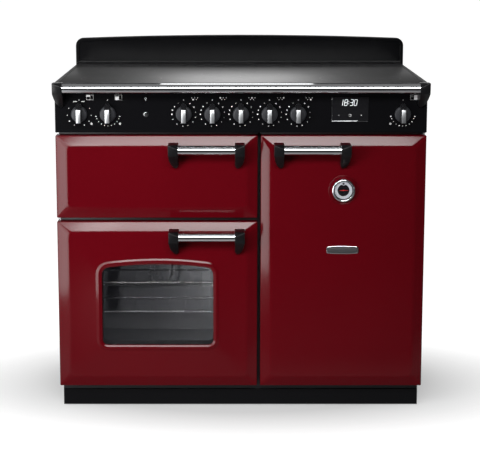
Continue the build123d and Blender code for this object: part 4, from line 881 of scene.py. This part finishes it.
class COOKER_OT_controls(bpy.types.Operator):
    """Knobs with bright strips, the light button and the marks printed on the panel"""

    bl_idname = "cooker.controls"
    bl_label = "Controls"

    def execute(self, context):
        marks = PrintedMarks(Y_PANEL, context.scene.cooker_sizes.mark_height)
        zero_ring, zero_dot = 0.038, 0.0011
        for knob in KNOBS:
            x = middle(knob)[0]
            self.knob(knob, x)
            marks.dot(*around(x, KNOB_Z, 0, zero_ring), zero_dot)
            if knob in ZONE_KNOBS:
                self.zone_marks(marks, x, ZONE_KNOBS.index(knob))
            elif knob == "grill_knob":
                self.grill_marks(marks, x)
            else:
                self.oven_marks(marks, x)
        for filled, (knob, side) in enumerate((("grill_knob", 1), ("left_oven_knob", 1), ("right_oven_knob", -1))):
            x = middle(knob)[0]
            self.cooker_sign(marks, x + 0.029, KNOB_Z + 0.045, filled)
            self.function_sign(marks, x + side * 0.0325, KNOB_Z - 0.0255)
        self.button(marks)
        piece("panel_marks", marks.bm, "cabinet", printed_white())
        return {"FINISHED"}

    def knob(self, knob, x):
        """Skirt, grip and the bright strip along the grip's ridge."""
        skirt, grip, y_front = knob_form(x)
        piece(f"{knob}_skirt", skirt, knob, coat("skirt_grey"), replaces=[knob])
        piece(f"{knob}_grip", grip, knob, coat("knob_black"))
        half, tail, nose, proud, sunk, edge = 0.0056, 0.0208, 0.0140, 0.0004, 0.002, 0.0003
        strip = bmesh.new()
        rounded_block(
            strip, (x - half, x + half), (y_front - proud, y_front + sunk), (KNOB_Z - tail, KNOB_Z + nose), edge, 2
        )
        piece(f"{knob}_strip", strip, knob, coat("brushed_silver"))

    def zone_marks(self, marks, x, index):
        """Scale of growing dots, heat signs, and a plan of the hob with this knob's zone picked out."""
        simmer = 270
        for step, degrees in enumerate((80, 105, 130, 160, 185, 215, 245, simmer, 290, 310)):
            size = 0.0017 if degrees == simmer else 0.0008 + 0.00008 * step
            marks.dot(*around(x, KNOB_Z, degrees, 0.032), size)
        line = 0.0009
        for degrees in (30, 55):
            px, pz = around(x, KNOB_Z, degrees, 0.0325)
            marks.bar(px, pz, 0.0036, line, degrees)
            marks.bar(px + 0.0012, pz + 0.0018, 0.0024, 0.0008, degrees)
        marks.bar(*around(x, KNOB_Z, 335, 0.033), 0.0026, line, -25)
        plan_x, plan_z, apart, off_row = x + 0.029, KNOB_Z + 0.0415, 0.004, 0.0024
        picked = (1, 0, 2, 4, 3)[index]
        for number in range(len(ZONE_KNOBS)):
            row = -off_row if number % 2 else off_row
            marks.dot(plan_x + (number - 2) * apart, plan_z + row, 0.0020 if number == picked else 0.0009)

    def grill_marks(self, marks, x):
        """Dots on both sides, and a comb for each half of the grill."""
        for degrees in (60, 95, 125, 155):
            for side in (-1, 1):
                marks.dot(*around(x, KNOB_Z, side * degrees, 0.032), 0.0008 + degrees * 3e-6)
        spine, teeth = KNOB_Z + 0.0345, KNOB_Z + 0.0330
        for comb in (x - 0.0105, x + 0.0105):
            marks.bar(comb, spine, 0.0085, 0.0009)
            for tooth in (-0.003, 0.0, 0.003):
                marks.bar(comb + tooth, teeth, 0.0008, 0.0016)

    def oven_marks(self, marks, x):
        """Scale of dots between two end bars."""
        for degrees in range(112, 249, 17):
            marks.dot(*around(x, KNOB_Z, degrees, 0.0315), 0.0011)
        for degrees in (100, 260):
            marks.bar(*around(x, KNOB_Z, degrees, 0.0325), 0.0040, 0.0016)

    def function_sign(self, marks, x, z):
        """Small ringed dot."""
        marks.ring(x, z, 0.0024, 0.0007)
        marks.dot(x, z, 0.0011)

    def cooker_sign(self, marks, x, z, filled):
        """Small plan of the cooker's front with one oven filled in."""
        wide, tall, line = 0.0180, 0.0130, 0.0005
        start, split, end = x - wide / 2, x + wide * 0.04, x + wide / 2
        left, left_width = (start + split) / 2, split - start
        for dz in (-tall / 2, tall / 2):
            marks.bar(x, z + dz, wide, line)
        for px in (start, split, end):
            marks.bar(px, z, line, tall)
        marks.bar(left, z + tall * 0.14, left_width, line)
        ovens = (
            (left, z + tall * 0.32, left_width, tall * 0.36),
            (left, z - tall * 0.18, left_width, tall * 0.62),
            ((split + end) / 2, z, end - split, tall),
        )
        marks.bar(*ovens[filled])

    def button(self, marks):
        """Domed cap on a stem, its collar, and a lamp sign over it."""
        low, high = BOX["light_button"]
        x, r = middle("light_button")[0], (high.x - low.x) / 2
        flange, edge = 0.0021, 0.0012
        rim = flange * 0.45
        place = (x, low.y + flange, KNOB_Z)
        dome = [*arc(r - edge, rim, edge, rim, math.pi / 2, 6), (r * 0.55, flange * 0.86), (0.0, flange * 0.80)]
        cap = bmesh.new()
        facing(cap, [(0.0, 0.0), (r, 0.0), *dome], place, 48)
        facing(cap, drum(0.003, 0.0, -0.012), place, 32)
        piece("light_button_cap", cap, "light_button", chrome(), replaces=["light_button"])
        collar = bmesh.new()
        profile = [(0.0062, 0.0), (0.0078, 0.0), (0.0074, 0.0010), (0.0065, 0.0010), (0.0062, 0.0)]
        facing(collar, profile, (x, Y_PANEL, KNOB_Z), 48)
        piece("light_button_collar", collar, "cabinet", chrome())
        line = 0.0006
        marks.ring(x, KNOB_Z + 0.0420, 0.0024, line)
        marks.bar(x, KNOB_Z + 0.0384, 0.0020, line)
        marks.bar(x, KNOB_Z + 0.0372, 0.0014, line)


# Lit segments of each figure, and each segment's place across and up, and whether it lies level.
FIGURES = {"0": "abcdef", "1": "bc", "3": "abgcd", "8": "abcdefg"}
SEGMENTS = {
    "a": (0.5, 1.0, True), "g": (0.5, 0.5, True), "d": (0.5, 0.0, True),
    "f": (0.0, 0.75, False), "b": (1.0, 0.75, False), "e": (0.0, 0.25, False), "c": (1.0, 0.25, False),
}


class COOKER_OT_clock(bpy.types.Operator):
    """Clock with its lit figures, touch marks and bright lower lip"""

    bl_idname = "cooker.clock"
    bl_label = "Clock"

    def execute(self, context):
        x, (y, _), z = spans("clock_module")
        left, base, film = x[0], z[0], 0.00008
        sunk, side, end = 0.001, 0.002, 0.004
        plate = bmesh.new()
        rounded_block(plate, x, (y, Y_PANEL + sunk), z, 0.0011, 4)
        piece("clock_plate", plate, "cabinet", coat("display_black"), replaces=["clock_module"])
        lip = bmesh.new()
        below = (base + 0.0012, base + 0.0030)
        rounded_block(lip, (left + side, x[1] - side), (y - 0.0004, y + sunk), below, 0.0003, 2)
        beside = (left + 0.0003, left + 0.0011)
        rounded_block(lip, beside, (y - 0.0002, y + sunk), (base + end, z[1] - end), 0.0002, 2)
        piece("clock_lip", lip, "cabinet", chrome())
        lit = PrintedMarks(y, film)
        start = left + 0.0262
        for figure in "18:30":
            start = self.figure(lit, figure, start, z[1] - 0.0225)
        piece("clock_figures", lit.bm, "cabinet", display_light())
        touch = PrintedMarks(y, film)
        row, minus, dial, plus = base + 0.0178, left + 0.0190, left + 0.0490, left + 0.0795
        long, line, hand_line = 0.0034, 0.0007, 0.0005
        touch.bar(minus, row, long, line)
        touch.ring(dial, row, 0.0032, 0.0006)
        touch.bar(dial, row + 0.0009, hand_line, 0.0018)
        touch.bar(dial + 0.0007, row, 0.0014, hand_line)
        touch.bar(plus, row, long, line)
        touch.bar(plus, row, line, long)
        piece("clock_touch_marks", touch.bm, "cabinet", printed_white())
        return {"FINISHED"}

    def figure(self, lit, figure, left, base):
        """Draw one leaning figure and return where the next one starts."""
        wide, tall, line, lean = 0.0072, 0.0158, 0.0010, 9.0
        if figure == ":":
            for up in (0.3, 0.7):
                lit.dot(left + 0.0006 + up * 0.0015, base + tall * up, 0.0009)
            return left + 0.0040
        gap = 0.0036
        if figure == "1":
            left -= wide - 0.0020
            gap = 0.0050
        for segment in FIGURES[figure]:
            across, up, level = SEGMENTS[segment]
            px, pz = left + across * wide + up * tall * math.tan(math.radians(lean)), base + up * tall
            if level:
                lit.bar(px, pz, wide - line, line)
            else:
                lit.bar(px, pz, line, tall / 2 - line * 0.6, lean)
        return left + wide + gap


class COOKER_OT_hob(bpy.types.Operator):
    """Hob glass with its printed cooking zones"""

    bl_idname = "cooker.hob"
    bl_label = "Hob"

    def execute(self, context):
        glass = bmesh.new()
        rounded_block(glass, *spans("hob_glass"), 0.0012, 3)
        piece("hob_plate", glass, "cabinet", hob_ceramic(), replaces=["hob_glass"])
        zones = bmesh.new()
        proud = 0.00003
        top = BOX["hob_glass"][1].z + proud
        for x, y, radius in self.zones():
            self.zone(zones, x, y, radius, top)
        piece("hob_zone_marks", zones, "cabinet", coat("zone_print"))
        dress(coat("cabinet_enamel"), "hob_frame")
        return {"FINISHED"}

    def zones(self):
        """Centre and radius of each zone, over its coil."""
        low, high = BOX["induction_coils"]
        large, small = 0.110, 0.080
        left, right = low.x + large, high.x - large
        front, rear = low.y + large, high.y - small
        return (
            (left, front, large), (left, rear, small), (0.0, (front + rear) / 2, large),
            (right, rear, small), (right, front, large),
        )

    def zone(self, bm, x, y, radius, top):
        """Ring, small inner ring and cross lines."""
        for r, width in ((radius, 0.0012), (radius * 0.16, 0.0008)):
            turned(bm, flat_ring(r - width, r, -0.00008, 0.00005), (x, y, top), "Z", 96)
        for quarter in range(4):
            turn = Matrix.Rotation(math.pi / 2 * quarter, 4, "Z")
            place = Matrix.Translation((x, y, top)) @ turn @ Matrix.Translation((radius * 0.62, 0, 0))
            bmesh.ops.create_cube(bm, size=1.0, matrix=place @ Matrix.Diagonal((radius * 0.5, 0.0009, 0.0001, 1.0)))


class COOKER_OT_thermometer(bpy.types.Operator):
    """Dial thermometer: chrome bezel, dial rings, needle and lens"""

    bl_idname = "cooker.thermometer"
    bl_label = "Thermometer"

    def execute(self, context):
        x, _, z = middle("thermometer_case")
        y_front, y_back = spans("thermometer_case")[1]
        depth = y_back - y_front
        outer, bore, recess, edge = 0.0310, 0.0258, 0.0090, 0.0036
        body = "right_oven_door"
        case = bmesh.new()
        profile = [(0.0, 0.0), (outer, 0.0), (outer, depth - 0.0045)]
        profile += arc(outer - edge, depth - edge, edge, edge, math.pi / 2, 8)[1:]
        profile += [(bore + 0.0006, depth - 0.0004), (bore, depth - 0.0020), (bore, depth - recess)]
        facing(case, [*profile, (0.0, depth - recess)], (x, y_back, z), 72)
        piece("thermometer_bezel", case, body, chrome(), replaces=["thermometer_case"])
        y_dial = y_front + recess
        dial, small_dial = (x, y_dial, z), (x, y_dial, z + 0.0178)
        sunk, scale_top, small_top = 0.0003, 0.0008, 0.0010
        face = bmesh.new()
        facing(face, drum(bore - 0.0002, 0.0, 0.0004), dial, 72)
        piece("thermometer_face", face, body, coat("display_black"))
        scale = bmesh.new()
        facing(scale, flat_ring(0.0160, 0.0237, sunk, scale_top), dial, 72)
        facing(scale, flat_ring(0.0030, 0.0046, sunk, small_top), small_dial, 32)
        piece("thermometer_scale", scale, body, coat("dial_silver"))
        marks = PrintedMarks(y_dial - scale_top, 0.00006)
        facing(marks.bm, drum(0.0031, sunk, small_top - 0.00005), small_dial, 32)
        for degrees in range(30, 331, 15):
            marks.bar(*around(x, z, degrees, 0.0215), 0.0004, 0.0022, degrees)
        piece("thermometer_marks", marks.bm, body, coat("knob_black"))
        lens = bmesh.new()
        rim = bore - 0.0001
        facing(lens, [(0.0, 0.0), (rim, -0.0010), (rim, 0.0002), (0.0, 0.0014)], (x, y_front + 0.0022, z), 64)
        piece("thermometer_lens", lens, body, lens_glass())
        self.needle(x, y_dial, z)
        return {"FINISHED"}

    def needle(self, x, y_dial, z):
        """Pointed hand with a short tail, on a hub."""
        half = ((0.0140, 0.0002), (0.0, 0.0007), (-0.0095, 0.0006))
        outline = (*half, (-0.0105, 0.0), *[(a, -b) for a, b in reversed(half)])
        front, thickness = y_dial - 0.0020, 0.0007
        hand = bmesh.new()
        pulled(hand, [(x + a, front, z + b) for a, b in outline], (0, thickness, 0))
        hub = [(0.0, 0.0), (0.0019, 0.0), (0.0019, 0.0016), (0.0012, 0.0022), (0.0, 0.0024)]
        facing(hand, hub, (x, y_dial - 0.0007, z), 32)
        piece(
            "thermometer_hand", hand, "thermometer_needle", needle_paint(),
            replaces=["thermometer_needle"],
        )


class COOKER_OT_plate(bpy.types.Operator):
    """Bare trim plate on the right door"""

    bl_idname = "cooker.plate"
    bl_label = "Trim plate"

    def execute(self, context):
        half, tall = 0.043, 0.0088
        rim = self.outline(half, tall, 0.0022)
        piece("trim_plate_rim", rim, "right_oven_door", chrome())
        field = self.outline(half - 0.0022, tall - 0.0020, 0.0026)
        piece("trim_plate_field", field, "right_oven_door", coat("plate_grey"))
        return {"FINISHED"}

    def outline(self, half, tall, height):
        """Plate with bowed long sides and round corners."""
        x, z, bow = middle("thermometer_case")[0] - 0.0005, 0.452, 0.0022
        y_front = Y_FACE - height
        bm = bmesh.new()
        block(bm, (x - half, x + half), (y_front, Y_FACE), (z - tall, z + tall))
        long = [e for e in bm.edges if abs(e.verts[0].co.x - e.verts[1].co.x) > half]
        bmesh.ops.subdivide_edges(bm, edges=long, cuts=15, use_grid_fill=True)
        for vert in bm.verts:
            share = (vert.co.x - x) / half
            vert.co.z += math.copysign(bow * (1.0 - share * share), vert.co.z - z)
        ends = [
            e for e in bm.edges
            if abs(abs(e.verts[0].co.x - x) - half) < TOUCH and abs(e.verts[0].co.y - e.verts[1].co.y) > 1e-4
        ]
        rounded(bm, ends, 0.0030, 4)
        bmesh.ops.recalc_face_normals(bm, faces=bm.faces)
        border = [e for e in bm.edges if at_depth(e.verts, y_front) and e.calc_face_angle(0.0) > 0.6]
        rounded(bm, border, 0.0006, 2)
        return bm


class COOKER_OT_cabinet(bpy.types.Operator):
    """Finishes of the cabinet, the ovens and what is inside them"""

    bl_idname = "cooker.cabinet"
    bl_label = "Cabinet and ovens"

    def execute(self, context):
        self.gap_strips()
        dress(black_enamel(), "splashback", "control_panel", "plinth")
        dress(coat("cabinet_enamel"), "left_side_panel", "right_side_panel", "front_frame")
        dress(galvanised(), "rear_panel", "base_tray", "electronics_shelf", "door_hinges", "rear_roller_brackets")
        dress(oven_enamel(), "left_oven_liner", "right_oven_liner", "grill_liner", "fan_covers", "grill_pan")
        dress(oven_enamel(), *[f"{door}_liner" for door in DOORS])
        dress(coat("wire_chrome"), "oven_shelves", "shelf_supports")
        dress(window_glass(), "left_oven_door_glass")
        dress(coat("fan_steel"), "left_oven_fan", "right_oven_fan")
        dress(coat("element_steel"), "heating_elements")
        dress(coat("motor_iron"), "fan_motors")
        dress(coat("coil_copper"), "induction_coils")
        dress(coat("power_unit"), "induction_power_units")
        dress(coat("switch_body"), "control_switches", "terminal_box")
        dress(coat("foot_plastic"), "front_feet")
        dress(coat("wool"), "oven_insulation")
        dress(coat("rubber"), "door_seals", "rear_rollers")
        dress(coat("lamp_lens"), "oven_lamps")
        return {"FINISHED"}

    def gap_strips(self):
        """Strips on the front frame that fill the gaps over the doors."""
        y_frame, depth, reach = BOX["front_frame"][0].y, 0.028, 0.488
        clear_below, clear_above, edge = 0.0015, 0.0010, 0.0008
        strips = bmesh.new()
        for door, above in zip(DOORS, ("control_panel", "grill_door_panel", "control_panel")):
            x, _, z = spans(f"{door}_panel")
            rounded_block(
                strips, (max(x[0], -reach), min(x[1], reach)), (y_frame - depth, y_frame),
                (z[1] + clear_below, BOX[above][0].z - clear_above), edge, 2,
            )
        piece("door_gap_strips", strips, "cabinet", coat("cabinet_enamel"))


# Area lamps: name, place, target, width, height, power and spread in degrees.
LAMPS = (
    ("key_front", (0.06, -3.45, 2.40), (0.0, -0.27, 0.66), 2.0, 0.90, 16.0, 60.0),
    ("low_left", (-1.22, -1.45, 0.55), (-0.25, -0.26, 0.56), 0.80, 1.16, 8.3, 90.0),
    ("corner_left", (-1.05, -2.10, 1.50), (-0.25, -0.26, 0.65), 1.10, 0.60, 2.8, 60.0),
    ("hob_back", (0.0, 1.5, 2.00), (0.0, -0.05, 0.9), 0.62, 1.7, 13.0, 180.0),
    ("oven_lamp", (-0.020, -0.15, 0.30), (-0.12, 0.15, 0.30), 0.05, 0.28, 3.6, 180.0),
)


def aimed(place, target):
    """Matrix of a lamp at place that looks at target."""
    look = Vector(target) - Vector(place)
    return Matrix.Translation(place) @ look.to_track_quat("-Z", "Y").to_matrix().to_4x4()


def rays(place):
    """Rays from the camera, and rays that come by a mirror or through glass."""
    seen = place.node("LightPath", out="Is Camera Ray")
    return seen, place.node("LightPath", out="Is Glossy Ray") + place.node("LightPath", out="Is Transmission Ray")


class COOKER_OT_stage(bpy.types.Operator):
    """Pale floor, soft studio lamps and the camera"""

    bl_idname = "cooker.stage"
    bl_label = "Stage"

    def execute(self, context):
        scene = context.scene
        scene.view_settings.view_transform = "Standard"
        self.floor(scene)
        self.world(scene)
        for name, place, target, wide, tall, power, spread in LAMPS:
            lamp = bpy.data.lights.new(name, "AREA")
            lamp.shape = "RECTANGLE"
            lamp.size, lamp.size_y, lamp.energy = wide, tall, power
            lamp.spread = math.radians(spread)
            made = bpy.data.objects.new(name, lamp)
            made.matrix_world = aimed(place, target)
            scene.collection.objects.link(made)
        self.camera(scene, scene.cooker_stage)
        return {"FINISHED"}

    def camera(self, scene, stage):
        camera = bpy.data.cameras.new("camera")
        camera.lens, camera.sensor_width = stage.lens, 36.0
        camera.shift_x, camera.shift_y = stage.shift_x, stage.shift_y
        camera.clip_end = 200.0
        eye = bpy.data.objects.new("camera", camera)
        eye.location = stage.eye
        eye.rotation_euler = (math.pi / 2 - stage.pitch, 0.0, 0.0)
        scene.collection.objects.link(eye)
        scene.camera = eye

    def floor(self, scene):
        """Floor that the camera sees pale, with its own shadow and a painted shadow round the plinth, and that mirrors
        see in patches, with a painted shadow next to the plinth front.
        """
        bm = bmesh.new()
        bmesh.ops.create_grid(bm, x_segments=1, y_segments=1, size=40.0)
        mesh = bpy.data.meshes.new("floor")
        bm.to_mesh(mesh)
        bm.free()

        def build(place):
            x, y = place.axis("X"), place.axis("Y")
            reach = place.node("VectorMath", {0: place.stretched((0.56, 1.0, 0.0))}, out="Value", operation="LENGTH")
            # near is a band of floor that mirrors see in front of the cooker; its fall to dark towards the plinth
            # front is a painted shadow.
            near = y.ramp(-0.80, 0.30) * y.ramp(-0.38, -0.15)
            far = y.ramp(-0.5, 1.6)
            left = x.ramp(-0.48, -0.30) * y.ramp(-2.2, 0.6)
            seen, mirrored = rays(place)
            # Painted shadow: the glow that the camera sees is dimmer close to the cooker, on top of the floor's own
            # shadow.
            glow_with_painted_shadow = 0.37 + reach.ramp(0.28, 0.30) * 0.60
            glow = seen * glow_with_painted_shadow + mirrored.clamped() * (near * 0.42 + far * 0.46 + left * 0.75)
            return {
                "Base Color": place.noise(1.2, 2.0).mix(*tints("floor_white", 0.98, 1.01)),
                "Emission Color": glow.mix((0.0, 0.0, 0.0), (1.0, 1.0, 1.0)),
            }

        mesh.materials.append(finish("floor", build, Roughness=0.9, Specular_IOR_Level=0.0, Emission_Strength=1.0))
        floor = bpy.data.objects.new("floor", mesh)
        scene.collection.objects.link(floor)

    def world(self, scene):
        """Dim room with a soft ceiling and a pale backdrop that the camera and mirrors see as white."""
        made = bpy.data.worlds.new("studio")
        made.use_nodes = True
        tree = made.node_tree
        ground = tree.nodes["Background"]
        ray = Shade(tree, tree.nodes.new("ShaderNodeTexCoord").outputs["Generated"])
        rise = ray.axis("Z")
        ceiling = rise.ramp(0.60, 0.25)
        backdrop = ray.axis("Y").ramp(-0.55, 0.7) * (1.0 - rise.ramp(0.10, 0.15))
        seen, mirrored = rays(ray)
        level = 0.05 + ceiling * 0.25 + backdrop * 0.62
        level = level + (seen + mirrored * backdrop).clamped() * (0.98 - level)
        tree.links.new(level.socket, ground.inputs["Strength"])
        ground.inputs["Color"].default_value = (1.0, 1.0, 1.0, 1.0)
        scene.world = made


STEPS = (
    COOKER_OT_stage, COOKER_OT_doors, COOKER_OT_handles, COOKER_OT_liners, COOKER_OT_controls, COOKER_OT_clock,
    COOKER_OT_hob, COOKER_OT_thermometer, COOKER_OT_plate, COOKER_OT_cabinet,
)
GROUPS = {"cooker_sizes": CookerSizes, "cooker_colours": CookerColours, "cooker_stage": CookerStage}


class COOKER_PT_panel(bpy.types.Panel):
    """Steps that dress the cooker"""

    bl_idname = "COOKER_PT_panel"
    bl_label = "Range cooker"
    bl_space_type = "VIEW_3D"
    bl_region_type = "UI"
    bl_category = "Cooker"

    def draw(self, context):
        for step in STEPS:
            self.layout.operator(step.bl_idname)
        for name, group in GROUPS.items():
            for value in group.__annotations__:
                self.layout.prop(getattr(context.scene, name), value)


def register():
    for group in (*GROUPS.values(), *STEPS, COOKER_PT_panel):
        bpy.utils.register_class(group)
    for name, group in GROUPS.items():
        setattr(bpy.types.Scene, name, PointerProperty(type=group))


def unregister():
    for name in GROUPS:
        delattr(bpy.types.Scene, name)
    for group in (COOKER_PT_panel, *reversed(STEPS), *reversed(GROUPS.values())):
        bpy.utils.unregister_class(group)


def main():
    register()
    bpy.ops.cooker.stage()
    bpy.ops.cooker.doors()
    bpy.ops.cooker.handles()
    bpy.ops.cooker.liners()
    bpy.ops.cooker.controls()
    bpy.ops.cooker.clock()
    bpy.ops.cooker.hob()
    bpy.ops.cooker.thermometer()
    bpy.ops.cooker.plate()
    bpy.ops.cooker.cabinet()


if __name__ == "__main__":
    main()
